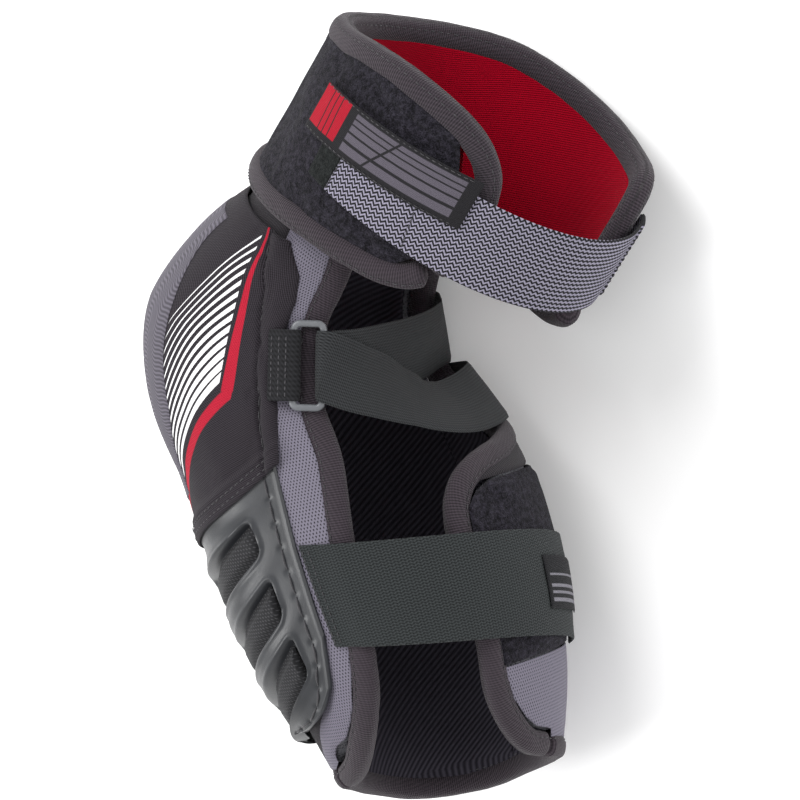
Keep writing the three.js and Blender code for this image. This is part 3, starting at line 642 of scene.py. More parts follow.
def zigzag_look():
    """Elastic with light zigzag lines, straight where the strap is stretched."""
    look = Look("zigzag_elastic", 0.85, sheen=0.05, specular=0.2)
    u, v = look.uv()
    slack = look.step(0.065, -0.05, look.sub(u, -0.03))
    saw = look.math("ABSOLUTE", look.sub(look.math("FRACT", look.mul(u, 1 / 0.0026)), 0.5))
    sway = look.mul(saw, look.add(look.mul(slack, 0.0026), 0.0005))
    line = look.math("FRACT", look.mul(look.add(v, sway), 1 / 0.00205))
    light = look.band(line, 0.28, 0.78, 0.07)
    fine = look.wave(u, 0.0009)
    tone = look.mix(look.mul(fine, 0.35), srgb(150, 146, 164), srgb(104, 101, 116))
    look.color(look.mix(light, srgb(17, 17, 20), tone))
    look.bump(look.add(light, look.mul(fine, 0.4)), 0.00035)
    return look.material


def foam_look(name, dark, light):
    look = Look(name, 0.95, specular=0.2)
    pores = look.texture("ShaderNodeTexVoronoi", Scale=900)
    look.color(look.mix(look.step(0.1, 0.7, pores), dark, light))
    look.bump(pores, 0.0003)
    return look.material


def dotted_foam_look():
    """Knitted face of the guard's foam insert: rows of small raised dots."""
    look = Look("insert_knit", 0.85, sheen=0.08, specular=0.2)
    u, v = look.uv()
    p = 0.0015
    dots = look.mul(look.wave(look.add(u, look.mul(v, 0.5)), p), look.wave(v, p))
    high = look.step(0.3, 0.8, dots)
    look.color(fabric_tone(look, srgb(36, 36, 38), srgb(70, 70, 73), high, 18, 0.2))
    look.bump(high, 0.0004)
    return look.material


def moulded_look(name, dark, light, rough, grain=2200, coat=0.0):
    """Injection-moulded skin: faint grain, and scuffs that are lighter and rougher."""
    look = Look(name, rough, coat=coat, specular=0.5)
    scuff = look.step(0.45, 0.8, look.noise(38, 5, 0.7))
    look.color(look.mix(look.mul(scuff, 0.55), dark, light))
    look.rough(look.math("MULTIPLY_ADD", scuff, 0.14, rough))
    look.bump(look.noise(grain, 2), 0.00012, 0.6)
    return look.material


def thread_look(name, tone):
    look = Look(name, 0.7, sheen=0.2)
    twist = look.noise(3000, 2)
    look.color(look.mix(look.step(0.3, 0.7, twist), tone, srgb(70, 68, 72)))
    look.bump(twist, 0.0002)
    return look.material


def print_look():
    """Twill of the elbow cover with its woven-in print: tapering white sweeps and a red
    line with one kink. Print coordinates are angle / 100 and station / 10."""
    look = Look("printed_twill", 0.88, sheen=0.05, specular=0.15)
    weave = weave_height(look, twill(0.00125))
    pu, pv = look.uv("print")
    angle, v = look.mul(pu, 100.0), look.mul(pv, 10.0)
    lift = look.sub(v, 6.1)
    limit = look.sub(-94.0, look.mul(look.mul(lift, lift), 4.2))
    reach = look.sub(limit, angle)
    bend = look.mul(look.mul(reach, reach), 0.0009)
    sweep_line = look.add(look.add(v, look.mul(reach, 0.045)), bend)
    phase = look.math("FRACT", look.mul(look.sub(sweep_line, 5.44), 1 / 0.2))
    thin = look.sub(1.0, look.mul(reach, 0.022))
    heavy = look.mul(look.sub(0.86, look.mul(look.sub(sweep_line, 5.44), 0.24)), thin)
    stripe = look.step(0.04, -0.04, look.sub(phase, heavy))
    inside = look.mul(look.step(-0.15, 0.15, reach), look.step(26.0, 24.5, reach))
    inside = look.mul(inside, look.band(sweep_line, 5.44, 7.95, 0.02))
    white = look.mul(stripe, inside)
    red_gap = look.math("ABSOLUTE", look.add(reach, 3.4))
    width = look.sub(1.9, look.mul(look.math("MAXIMUM", lift, -0.6), 0.62))
    upper = look.mul(look.step(0.2, -0.2, look.sub(red_gap, width)),
                     look.step(5.28, 5.34, v))
    turn_gap = look.math("ABSOLUTE", look.sub(sweep_line, 5.12))
    lower = look.mul(look.step(0.02, -0.02, look.sub(turn_gap, 0.13)),
                     look.step(-5.6, -5.2, reach))
    lower = look.mul(lower, look.step(5.46, 5.4, v))
    lower = look.mul(lower, look.step(46.0, 44.0, reach))
    red = look.math("MAXIMUM", upper, lower)
    ground = fabric_tone(look, srgb(21, 19, 22), srgb(56, 51, 57), weave, 12, 0.12)
    tone = look.mix(white, ground, look.mix(look.mul(weave, 0.15), srgb(250, 250, 250),
                                            srgb(190, 190, 196)))
    tone = look.mix(red, tone, look.mix(look.mul(weave, 0.3), srgb(178, 30, 52),
                                        srgb(130, 14, 34)))
    look.color(tone)
    look.bump(weave, 0.0003)
    return look.material


def panel_look():
    """Grey twill of the cap's middle with slow waves in the weave."""
    look = Look("grey_twill", 0.85, sheen=0.05, specular=0.2)
    u, v = look.uv()
    sway = look.mul(look.math("SINE", look.mul(u, 420.0)), 0.0012)
    ribs = look.wave(look.add(v, look.add(sway, look.mul(u, 0.4))), 0.0013)
    look.color(fabric_tone(look, srgb(66, 63, 70), srgb(104, 100, 110), ribs, 12, 0.2))
    look.bump(ribs, 0.0003)
    return look.material


def label_look():
    """Woven label: a red block with fine dark lines, then grey bars. Print coordinates run
    0 to 1 along and across it."""
    look = Look("woven_label", 0.8, sheen=0.03, specular=0.2)
    x, y = look.uv("print")
    fine = look.wave(look.uv()[1], 0.0007)
    slant = look.add(x, look.mul(y, 0.02))
    field = look.mul(look.band(x, 0.012, 0.235, 0.002), look.band(y, 0.16, 0.97, 0.01))
    lines = look.bands(slant, (0.1, 0.107, 0.0015), (0.14, 0.147, 0.0015),
                       (0.18, 0.187, 0.0015))
    red = look.mul(field, look.sub(1.0, lines))
    grey_field = look.mul(look.band(x, 0.29, 0.93, 0.003), look.band(y, 0.14, 0.9, 0.01))
    bars = look.bands(y, (0.3, 0.36, 0.008), (0.5, 0.54, 0.006), (0.66, 0.69, 0.006),
                      (0.78, 0.81, 0.006))
    cut = look.band(look.sub(x, look.mul(y, 0.16)), 0.42, 0.435, 0.003)
    bars = look.math("MAXIMUM", bars, cut)
    grey = look.mul(grey_field, look.sub(1.0, bars))
    tone = look.mix(look.mul(fine, 0.4), srgb(24, 23, 26), srgb(40, 38, 42))
    tone = look.mix(red, tone, look.mix(look.mul(fine, 0.3), srgb(168, 12, 38), srgb(124, 4, 24)))
    tone = look.mix(grey, tone, look.mix(look.mul(fine, 0.4), srgb(92, 87, 97),
                                         srgb(62, 58, 67)))
    look.color(tone)
    look.bump(fine, 0.0002)
    return look.material


def forearm_label_look():
    """Woven label of the forearm strap: black, with grey bars along it."""
    look = Look("strap_label", 0.8, sheen=0.03, specular=0.2)
    x, y = look.uv("print")
    fine = look.wave(look.uv()[1], 0.0007)
    bars = look.bands(y, (0.13, 0.2, 0.01), (0.28, 0.33, 0.01), (0.4, 0.46, 0.01),
                      (0.62, 0.66, 0.01))
    bars = look.mul(bars, look.band(x, 0.06, 0.94, 0.01))
    ground = look.mix(look.mul(fine, 0.4), srgb(20, 20, 23), srgb(38, 38, 42))
    look.color(look.mix(bars, ground, srgb(122, 120, 128)))
    look.bump(fine, 0.0002)
    return look.material


TAPE = cloth_look("ribbed_tape", srgb(27, 23, 27), srgb(66, 58, 65),
                  ((0.7, 0.00105, 1.0, 0.0), (0.3, 0.0013, 0.25, 1.0)),
                  0.85, 0.12, 0.2, 14, 0.25, 0.00035, 0.5)
BLACK_LINING = lining_look("black_lining", srgb(28, 26, 32), srgb(72, 69, 78), 0.0026)
RED_LINING = lining_look("red_lining", srgb(118, 0, 20), srgb(164, 0, 30), 0.0011)
MESH = mesh_look()
BLACK_KNIT = cloth_look("black_knit", srgb(20, 18, 21), srgb(48, 44, 49), twill(0.0013, 0.6), 0.88)
LOOP = pile_look("loop_pile", srgb(13, 12, 16), srgb(58, 55, 65))
HOOK = pile_look("hook_pile", srgb(18, 20, 20), srgb(46, 49, 49))
WEB = webbing_look("strap_webbing", srgb(16, 17, 18), srgb(56, 58, 60), 0.0011)
TAB_WEB = webbing_look("tab_webbing", srgb(7, 7, 8), srgb(36, 36, 39), 0.0018)
ELASTIC = elastic_look()
ZIGZAG = zigzag_look()
PAD_FOAM = foam_look("grey_foam", srgb(60, 60, 64), srgb(120, 120, 126))
CAP_FOAM = foam_look("white_foam", srgb(150, 150, 145), srgb(214, 214, 206))
INSERT = dotted_foam_look()
GUARD = moulded_look("guard_moulding", srgb(33, 35, 39), srgb(50, 52, 57), 0.4, coat=0.05)
SHELL = moulded_look("cap_shell_moulding", srgb(34, 36, 42), srgb(56, 58, 64), 0.35)
RING = moulded_look("ring_moulding", srgb(96, 98, 102), srgb(140, 142, 146), 0.3, 1500)
THREAD = thread_look("black_thread", srgb(14, 13, 16))
GREY_THREAD = thread_look("grey_thread", srgb(44, 41, 46))
COVER = print_look()
PANEL = panel_look()
LABEL = label_look()
FOREARM_LABEL = forearm_label_look()


# ---------------------------------------------------------------- fields on the surfaces
def field(rows, columns, ends):
    """Angle and row grids between ends(row) = (first, last) angle."""
    rows = np.asarray(rows, float)
    first, last = ends(rows)
    t = spread(columns)
    angle = first[:, None] + (last - first)[:, None] * t[None]
    return angle, np.broadcast_to(rows[:, None], angle.shape).copy()


def on_sleeve(rows, columns, ends, rim=True):
    angle, row = field(rows, columns, ends)
    return angle, to_rim(angle, row) if rim else row


def flat(value, rows):
    return np.full(len(rows), float(value))


def between(low, high, count):
    return low + (high - low) * spread(count)


# ---------------------------------------------------------------- sleeve
def make_sleeve():
    ends = lambda r: (flat(SEAM + 0.6 - 360, r), table(MEDIAL_FOAM_EDGE, r))
    angle, v = on_sleeve(between(0.335, 8.8, 70), 60, ends)
    pad = layer("sleeve_padding", sleeve, angle, v, *FOAM, rounding=2, wrinkle=0.1)
    finish_piece(pad, PAD_FOAM, "sleeve_foam")
    reach = lambda r: (flat(SEAM + 0.3 - 360, r), table(MEDIAL_FOAM_EDGE, r) + 2.4)
    angle, v = on_sleeve(between(0.22, 8.8, 170), 120, reach)
    fold = 0.9 * np.exp(-((angle + 262 + 2 * v) / 7) ** 2) * smooth((v - 0.3) / 0.8)
    soft = fold + 0.35 * ripple(angle / 17, v * 2.2, 4)
    knit = layer("arm_lining", sleeve, angle, v, LINING[0] - soft, LINING[1], 0.7)
    finish_piece(knit, BLACK_LINING, "sleeve_lining")

    rows = between(0.24, 8.6, 120)
    angle, v = on_sleeve(rows, 22, lambda r: (table(MESH_BACK, r) - 1, table(
        MEDIAL_FOAM_EDGE, r) + 2.6))
    strip = layer("inner_flank_mesh", sleeve, angle, v, *SKIN, 0.6, swell=0.8, wrinkle=0.25)
    finish_piece(strip, MESH, "medial_mesh")
    angle, v = on_sleeve(rows, 30, lambda r: (flat(SEAM + 1 - 360, r), -359 - table(MESH_BACK, r)))
    strip = layer("outer_flank_mesh", sleeve, angle, v, *SKIN, 0.6, wrinkle=0.08)
    finish_piece(strip, MESH, "lateral_mesh")
    angle, v = on_sleeve(rows, 60, lambda r: (-359.4 - table(MESH_BACK, r),
                                              table(MESH_BACK, r) - 0.6))
    knit = layer("back_knit", sleeve, angle, v, *SKIN, 0.6, wrinkle=0.1)
    finish_piece(knit, BLACK_KNIT, "back_fabric")


# ---------------------------------------------------------------- forearm wing
def make_wing():
    edge = lambda r: table(WING_FOAM_EDGE, r)
    ends = lambda r: (edge(r), flat(SEAM - 0.4, r))
    rows = between(0.335, 4.15, 80)
    angle, v = on_sleeve(rows, 50, ends)
    pad = layer("wing_padding", sleeve, angle, v, *FOAM, rounding=2)
    finish_piece(pad, PAD_FOAM, "wing_foam")
    reach = lambda r: (edge(r) - 2.4, flat(SEAM - 0.1, r))
    angle, v = on_sleeve(between(0.22, 4.3, 110), 80, reach)
    knit = layer("wing_inner_lining", sleeve, angle, v, LINING[0] - 0.3 * ripple(
        angle / 15, v * 2.5, 6), LINING[1], 0.7)
    finish_piece(knit, BLACK_LINING, "wing_lining")
    top = 1.22
    rows = between(top + 0.02, 3.2, 70)
    angle, v = on_sleeve(rows, 70, lambda r: (edge(r) - 3, flat(SEAM - 0.4, r)), False)
    loop = layer("wing_loop_field", sleeve, angle, v, SKIN[0], SKIN[1] + 0.5, 0.8, swell=0.4,
                 wrinkle=0.3, blown=0.9)
    finish_piece(loop, LOOP, "wing_loop_panel")
    rows = between(0.24, top, 40)
    angle, v = on_sleeve(rows, 60, lambda r: (edge(r) - 2, flat(SEAM - 0.4, r)))
    mesh = layer("wing_mesh_field", sleeve, angle, v, *SKIN, 0.6, swell=0.3, wrinkle=0.2)
    finish_piece(mesh, MESH, "wing_mesh")
    angle, v = field(between(3.22, 8.6, 70), 14, lambda r: (
        table(WING_EDGE, r) + 2.5, flat(SEAM - 0.2, r)))
    strip = layer("outer_edge_knit", sleeve, angle, v, -1.2, 0.6, 0.5, wrinkle=0.1)
    finish_piece(strip, BLACK_KNIT)


# ---------------------------------------------------------------- edge tapes
def tape_section(width, thick, count=28):
    """A folded tape: full and round at the free edge, flatter where it is sewn down."""
    turn = np.arange(count) * 2 * math.pi / count
    cos, sin = np.cos(turn), np.sin(turn)
    across = width / 2 * np.sign(cos) * np.abs(cos) ** 0.8
    up = thick / 2 * np.sign(sin) * np.abs(sin) ** 0.72
    return across, up


def make_tape(name, node, surface, pairs, steps, body, inner, width=TAPE_WIDTH,
              thick=TAPE_THICK, offset=TAPE_OFFSET, seed=2):
    """inner is +1 or -1: the side on which the tape is stitched to the cloth."""
    points, normals = path_on(surface, pairs, offset, steps)
    run = np.concatenate([[0], np.cumsum(np.linalg.norm(np.diff(points, axis=0), axis=1))])
    across, up = tape_section(width, thick)
    turn = np.arange(len(across)) * 2 * math.pi / len(across)
    pucker = ripple(run[:, None] * 210, turn[None] * 1.6, seed)
    swell = 1 + 0.035 * ripple(run[:, None] * 70, turn[None], seed + 1) + 0.02 * pucker
    groove = np.exp(-((across * inner - (width / 2 - 2.6)) / 0.7) ** 2)
    flatten = 1 - 0.13 * groove - 0.1 * smooth((across * inner - 1) / (width / 2))
    ends = np.minimum(run, run[-1] - run) * 1000 / 3.0
    cap = np.sqrt(np.clip(1 - (1 - np.clip(ends, 0, 1)) ** 2, 0.15, 1))[:, None]
    section = np.stack([across[None] * swell * cap, up[None] * flatten[None] * swell * cap], -1)
    obj = sweep(name, points, normals, section, width / 1000)
    finish_piece(obj, TAPE, node, body)
    _, side, normal = frames(points, normals)
    seat = points + side * inner * (width / 2 - 2.6) / 1000
    for face, word in ((1, "outer"), (-1, "inner")):
        lift = thick / 2000 * 0.8 * face
        stitches(f"{name}_{word}_stitching", seat + normal * lift, normal * face, THREAD, body,
                 length=2.2, gap=1.3, radius=0.24)


def make_tapes():
    make_tape("inner_edge_tape", "medial_binding", sleeve, MEDIAL_EDGE, 260, "sleeve", 1)
    make_tape("wing_edge_tape", "wing_binding", sleeve, WING_EDGE, 340, "sleeve", -1, seed=5)
    rim = [(0.175, -356.4)] + [(v, a) for a, v in RIM_LINE[1:-1]] + [(0.353, -129.2)]
    make_tape("wrist_rim_tape", "wrist_binding", sleeve, rim, 220, "sleeve", 1, seed=8)


# ---------------------------------------------------------------- forearm guard
GUARD_HALF = [(1.2, 60), (1.4, 76), (1.6, 85), (2.05, 91.5), (3, 93), (4.05, 97)]
WINDOWS = [(2.18, 0.2), (2.78, 0.19), (3.46, 0.2)]  # row of each window, half height
WINDOW_ENDS = (30, 79)  # degrees from the middle of the back


def guard_station(angle, row):
    c = np.abs(angle - BACK) / FLANK
    sag = table([(1.2, 0.3), (2, 1.3), (2.7, 1.1), (4.05, 0.93)], row)
    v = row + sag * (c * c - 1)
    return np.maximum(v, 0.36 + 0.9 * c**3 + 0.05 * (row - 1.2))


def window_distance(angle, row):
    """Millimetres to the nearest window's edge, negative inside."""
    out = np.full(np.shape(angle), 1e9)
    c = np.abs(angle - BACK)
    for centre, half in WINDOWS:
        slant = (c - sum(WINDOW_ENDS) / 2) / (WINDOW_ENDS[1] - WINDOW_ENDS[0])
        dx = (np.abs(c - sum(WINDOW_ENDS) / 2) - (WINDOW_ENDS[1] - WINDOW_ENDS[0]) / 2) * 1.17
        grow = half * (1 + 0.06 * slant)
        dy = (np.abs(row - centre - 0.05 * slant) - grow) * 38
        corner = 3.0
        qx, qy = dx + corner, dy + corner
        d = np.hypot(np.maximum(qx, 0), np.maximum(qy, 0)) + np.minimum(
            np.maximum(qx, qy), 0) - corner
        out = np.minimum(out, d)
    return out


def guard_surface(angle, row):
    """Height of the guard's outer face over the sleeve."""
    v = guard_station(angle, row)
    c = np.abs(angle - BACK) / FLANK
    wave = np.zeros_like(row)
    for a, b in zip([1.72] + [w[0] for w in WINDOWS], [w[0] for w in WINDOWS] + [3.98]):
        middle = (a + b) / 2 - 0.02
        wave = wave + np.exp(-((row - middle) / 0.13) ** 2)
    rib = 1.6 * wave * smooth((0.98 - c) / 0.3) * smooth((3.95 - row) / 0.2)
    gap = window_distance(angle, row)
    lip = 0.7 * np.exp(-((gap - 1.1) / 1.0) ** 2)
    drop = -4.2 * smooth((0.4 - gap) / 2.2)
    return back_height(angle, v) + rib + lip + drop


def make_guard():
    rows = np.linspace(1.2, 4.05, 190)
    ends = lambda r: (BACK - 0.84 * table(GUARD_HALF, r), BACK + table(GUARD_HALF, r))
    first, last = ends(rows)
    t = np.linspace(0, 1, 230)
    angle = first[:, None] + (last - first)[:, None] * t[None]
    row = np.broadcast_to(rows[:, None], angle.shape)
    v = guard_station(angle, row)
    height = guard_surface(angle, row)
    edge = edge_distance(sleeve(angle, v, 5.0))
    height = height + 0.45 * np.exp(-((edge - 1.3) / 0.8) ** 2) - 0.5 * smooth(1 - edge / 0.9)
    run_points, run_normals, dimples = guard_stitch_path()
    points = sleeve(angle, v, height)
    near = np.full(angle.shape, 1e9)
    for p in dimples:
        near = np.minimum(near, np.linalg.norm(points - p, axis=-1) * 1000)
    height = height - 0.7 * np.exp(-(near / 1.3) ** 2)
    points = sleeve(angle, v, height)
    low = sleeve(angle, v, np.maximum(back_height(angle, v) - 1.5 - 2.6 * smooth(
        (0.4 - window_distance(angle, row)) / 2.2), 1.3))
    gap = window_distance(angle, row)
    cell = np.maximum.reduce([gap[:-1, :-1], gap[1:, :-1], gap[:-1, 1:], gap[1:, 1:]])
    guard = closed_grid("guard_skin", points, low, cloth_uv(sleeve, angle, v), cell > -2.0,
                        None, 40)
    finish_piece(guard, GUARD, "slash_guard")
    stitches("guard_stitching", run_points, run_normals, THREAD, "sleeve", length=8.9, gap=1.5,
             radius=0.5, sink=0.35)

    rows = between(1.25, 3.95, 120)
    half = table(GUARD_HALF, rows)
    angle = (BACK - 0.7 * half)[:, None] + (1.52 * half)[:, None] * spread(130)[None]
    row = np.broadcast_to(rows[:, None], angle.shape)
    v = guard_station(angle, row)
    gap = window_distance(angle, row)
    upper = smooth((row - nearest_window(row)) / 0.12)
    bulge = back_height(angle, v) - 2.3 + 2.6 * smooth((-gap - 0.6 - 1.6 * upper) / 4)
    insert = layer("guard_insert", sleeve, angle, v, 1.4, bulge, 0.8)
    finish_piece(insert, INSERT, "slash_guard_foam")


def nearest_window(row):
    """The middle row of the nearest window."""
    middles = np.array([centre for centre, _ in WINDOWS])
    return middles[np.argmin(np.abs(row[..., None] - middles), -1)]


def guard_stitch_path():
    """The running stitch inside the guard's inner edge, and its dimples."""
    rows = np.linspace(4.02, 1.38, 160)
    angle = BACK + table(GUARD_HALF, rows) - 5.8 - 2.5 * smooth((2.2 - rows) / 0.8)
    tail = np.linspace(angle[-1], BACK - 44, 60)[1:]
    angle = np.concatenate([angle, tail])
    rows = np.concatenate([rows, np.full(len(tail), 1.38)])
    v = guard_station(angle, rows)
    height = guard_surface(angle, rows)
    points = sleeve(angle, v, height)
    normals = normal_of(sleeve, angle, v)
    run = np.concatenate([[0], np.cumsum(np.linalg.norm(np.diff(points, axis=0), axis=1))])
    spots = np.arange(0, run[-1], 0.0104)
    dimples = np.stack([np.interp(spots, run, points[:, k]) for k in range(3)], -1)
    return points - normals * 0.0001, normals, dimples


# ---------------------------------------------------------------- elbow cap
COVER_EDGE = [(0, -80.6), (0.17, -74), (0.45, -70.5), (0.7, -73), (0.85, -79), (1, -92)]
CAP_HEM = -0.19  # stations by which the cover's hem reaches down over the guard
HEM_STEP = 1.7  # millimetres by which it steps up to lie on it
SEAM_LINE = [(4.07, -87), (5.19, -80.6), (6.17, -80.2), (7.18, -87.4), (8.04, -104)]


def cap_station(angle, t, foot=0.0, top=0.0):
    c = np.abs(angle - BACK) / FLANK
    low = 4.18 + 0.93 * (c * c - 1) + foot
    high = 7.8 + np.where(angle > BACK, 0.5, -0.1) * c * c - top
    return low + (high - low) * t


def make_cap():
    t = between(0, 1, 150)
    first = flat(BACK - 80, t)
    angle = first[:, None] + (table(COVER_EDGE, t) - first)[:, None] * spread(170)[None]
    row = np.broadcast_to(t[:, None], angle.shape)
    v = cap_station(angle, row, CAP_HEM)
    seam = table(SEAM_LINE, v)
    edge = table(COVER_EDGE, row)
    share = np.clip((angle - seam) / np.maximum(edge - seam, 2), 0, 1)
    puff = 2.3 * np.sin(np.pi * share) ** 0.8
    groove = -1.0 * np.exp(-(((angle - seam) * 1.15) / 1.1) ** 2)
    hem = 0.5 * smooth((0.045 - row) / 0.01) - 0.35 * np.exp(-((row - 0.048) / 0.006) ** 2)
    gather = 0.25 * ripple(angle / 3.1, v * 3, 12) * np.exp(-((angle - seam) / 7) ** 2)
    step = HEM_STEP * smooth((0.085 - row) / 0.03)
    outer = back_height(angle, v) + puff + groove + hem + gather + step
    inner = back_height(angle, v) - 1.3 + step
    blown = cloth_lift(sleeve(angle, v, outer), 1.2) * smooth((angle + 116) / 12)
    outer = outer + np.maximum(blown * smooth(row / 0.12), -0.3)
    print_uv = np.stack([angle / 100, v / 10], -1)
    cover = layer("cap_cover", sleeve, angle, v, inner, outer, 1.3, wrinkle=0.14,
                  print_uv=print_uv, seed=7)
    finish_piece(cover, COVER, "elbow_cap_cover")
    line = np.linspace(4.15, 7.9, 160)
    a = table(SEAM_LINE, line)
    lift = back_height(a, line) - 0.75
    stitches("cap_seam_stitching", sleeve(a, line, lift), normal_of(sleeve, a, line), THREAD,
             "sleeve", length=4.6, gap=1.2, radius=0.3)
    for k, rise in enumerate((0.018, 0.042)):
        a = np.linspace(BACK - 78, -82, 260)
        v = cap_station(a, rise, CAP_HEM)
        stitches(f"cap_hem_stitching_{k + 1}", sleeve(a, v, back_height(a, v) + 2.0),
                 normal_of(sleeve, a, v), THREAD, "sleeve", 2.2, 1.2, 0.25)

    t = between(0, 1, 90)
    half = 60 - 14 * smooth((t - 0.55) / 0.45) - 12 * smooth((0.3 - t) / 0.3)
    angle = (BACK - half * 0.75)[:, None] + (1.75 * half)[:, None] * spread(80)[None]
    row = np.broadcast_to(t[:, None], angle.shape)
    v = cap_station(angle, row, 0.42, 0.35)
    panel = layer("cap_grey_panel", sleeve, angle, v, back_height(angle, v) - 0.2,
                  back_height(angle, v) + 0.55, 0.6, wrinkle=0.08)
    finish_piece(panel, PANEL, "cap_centre_panel")

    node = frame["nodes"]["elbow_cap_shell"]
    node.data.materials.clear()
    node.data.materials.append(SHELL)
    t = between(0, 1, 50)
    w = flat(64, t) * (1 - 0.1 * smooth((t - 0.6) / 0.4))
    angle = (BACK - w * 0.75)[:, None] + (1.75 * w)[:, None] * spread(60)[None]
    row = np.broadcast_to(t[:, None], angle.shape)
    v = cap_station(angle, row, 0.15, 0.6)
    foam = layer("cap_soft_foam", sleeve, angle, v, 1.9, np.maximum(
        back_height(angle, v) - 5.9, 2.4), 0.5)
    finish_piece(foam, CAP_FOAM, "elbow_cap_foam")


# ---------------------------------------------------------------- cuff
CUFF_TOP = [(-331, 90), (-310, 89.5), (-281, 89), (-249, 87), (-222, 80), (-201, 76),
            (-180, 76), (-160, 80), (-131, 88.5), (-115, 94.5), (-100, 98.5), (-82, 99),
            (-72, 97)]
CUFF_NEAR = [(-64, 92.5), (-57.5, 84), (-55, 74), (-54.5, 60), (-55, 48), (-58, 37)]
CUFF_FOOT = [(-65, 29), (-74, 25), (-86, 22.5), (-100, 20), (-123, 14.5), (-150, 9.5),
             (-180, 8.5), (-210, 8), (-245, 7), (-280, 6), (-300, 7.5), (-316, 12), (-330, 20)]
CUFF_FAR = [(-338, 28), (-341, 40), (-342, 58), (-341, 74), (-337, 85)]


def cuff_bounds(angle, inset):
    """Lowest and highest s of a layer of the cuff at an angle, inset from its tapes."""
    top = table([(a, s - inset) for a, s in CUFF_TOP + CUFF_NEAR[:2]], angle)
    foot = table([(a, s + inset) for a, s in CUFF_FAR[:1] + CUFF_FOOT + CUFF_NEAR[-1:]], angle)
    near = 16 * smooth((angle + 72) / 10)
    far = 9 * smooth((-328 - angle) / 6.5)
    return foot + 0.5 * near + far, top - near - 0.6 * far


def cuff_field(first, last, columns, rows, inset=3.6):
    angle = first + (last - first) * spread(columns)
    low, high = cuff_bounds(angle, inset)
    t = spread(rows)[:, None]
    s = low[None] + (high - low)[None] * t
    return np.broadcast_to(angle[None], s.shape), s


def make_cuff():
    angle, s = cuff_field(-334.5, -62, 120, 30, 6.2)
    pad = layer("cuff_padding", cuff, angle, s, -6, -0.9, 2)
    finish_piece(pad, PAD_FOAM, "cuff_foam", "cuff")
    angle, s = cuff_field(-338, -58, 200, 70)
    soft = 0.5 * ripple(angle / 19, s / 22, 3)
    lining = layer("cuff_red_lining", cuff, angle, s, -7.5 - soft, -6.5, 0.7)
    finish_piece(lining, RED_LINING, "cuff_lining", "cuff")
    split = -149
    angle, s = cuff_field(split, -57.5, 130, 90)
    soft = 0.35 * ripple(angle / 9, s / 26, 9)
    loop = layer("cuff_loop_field", cuff, angle, s, -0.3, 1.1 + soft, 0.8, swell=0.5,
                 wrinkle=0.15, blown=0.9)
    finish_piece(loop, LOOP, "cuff_loop_panel", "cuff")
    angle, s = cuff_field(-338, split - 0.1, 150, 60)
    knit = layer("cuff_outer_knit", cuff, angle, s, -0.3, 0.7, 0.6, wrinkle=0.15, blown=0.9)
    finish_piece(knit, BLACK_KNIT, "cuff_outer_fabric", "cuff")
    rim = [(s, a) for a, s in CUFF_FAR[1:] + CUFF_TOP + CUFF_NEAR]
    make_tape("cuff_rim_tape", "cuff_rim_binding", cuff, rim, 420, "cuff", 1, offset=-3.4,
              seed=11)
    foot = [(26.6, -337.4)] + [(s, a) for a, s in sorted(CUFF_FOOT)] + [(34.8, -59.2)]
    make_tape("cuff_foot_tape", "cuff_foot_roll", cuff, foot, 380, "cuff", -1, width=11.6,
              thick=11.2, offset=-2.6, seed=14)


def make_gusset():
    t = np.linspace(0, 1, 40)
    angle = np.linspace(-238, -122, 90)
    low = sleeve(angle[None], 8.9, -1.0 + 0 * t[:, None])
    high = cuff(angle[None], 42.0, -9.7 + 0 * t[:, None])
    base = low * (1 - t)[:, None, None] + high * t[:, None, None]
    out = normal_of(sleeve, angle[None] + 0 * t[:, None], 8.7 + 0 * t[:, None])
    fold = np.sin(t * 3 * 2 * np.pi)[:, None] * 0.0009 * np.sin(np.pi * t)[:, None]
    fold = fold + 0.0006 * ripple(angle[None] / 6, t[:, None] * 5, 21) * np.sin(
        np.pi * t)[:, None]
    outer = base + out * (fold + 0.0009)[..., None]
    uv = np.stack(np.broadcast_arrays(np.radians(angle)[None] * 0.06, t[:, None] * 0.05), -1)
    obj = closed_grid("elbow_stretch_gusset", outer, base + out * fold[..., None], uv)
    obj.data.materials.append(BLACK_KNIT)
    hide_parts("elbow_gusset")
    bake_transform(obj)


# ---------------------------------------------------------------- straps
def strap_sweep(name, points, normals, width, thick, wave=0.0, seed=1):
    count = 14
    x = np.linspace(-0.5, 0.5, count)
    half = thick / 2 * np.sqrt(np.clip(1 - np.abs(2 * x) ** 16, 0.05, 1))
    run = np.concatenate([[0], np.cumsum(np.linalg.norm(np.diff(points, axis=0), axis=1))])
    cup = wave * ripple(run[:, None] * 40, x[None] * 2.5, seed)
    _, across, normal = frames(points, normals)
    middle = points[:, None] + across[:, None] * (x * width / 1000)[None, :, None]
    middle = middle + normal[:, None] * cup[..., None] / 1000
    lift = normal[:, None] * (half / 1000)[None, :, None]
    uv = np.stack(np.broadcast_arrays(run[:, None], (x * width / 1000)[None]), -1)
    # across = normal x along, so rows run along and columns against the outward turn.
    return closed_grid(name, (middle + lift)[::-1], (middle - lift)[::-1], uv[::-1])


def forearm_row(angle, v):
    return v - 0.0054 * (angle + 84)


def forearm_lift(angle):
    return 3.3 - 1.7 * smooth((-72 - angle) / 9)


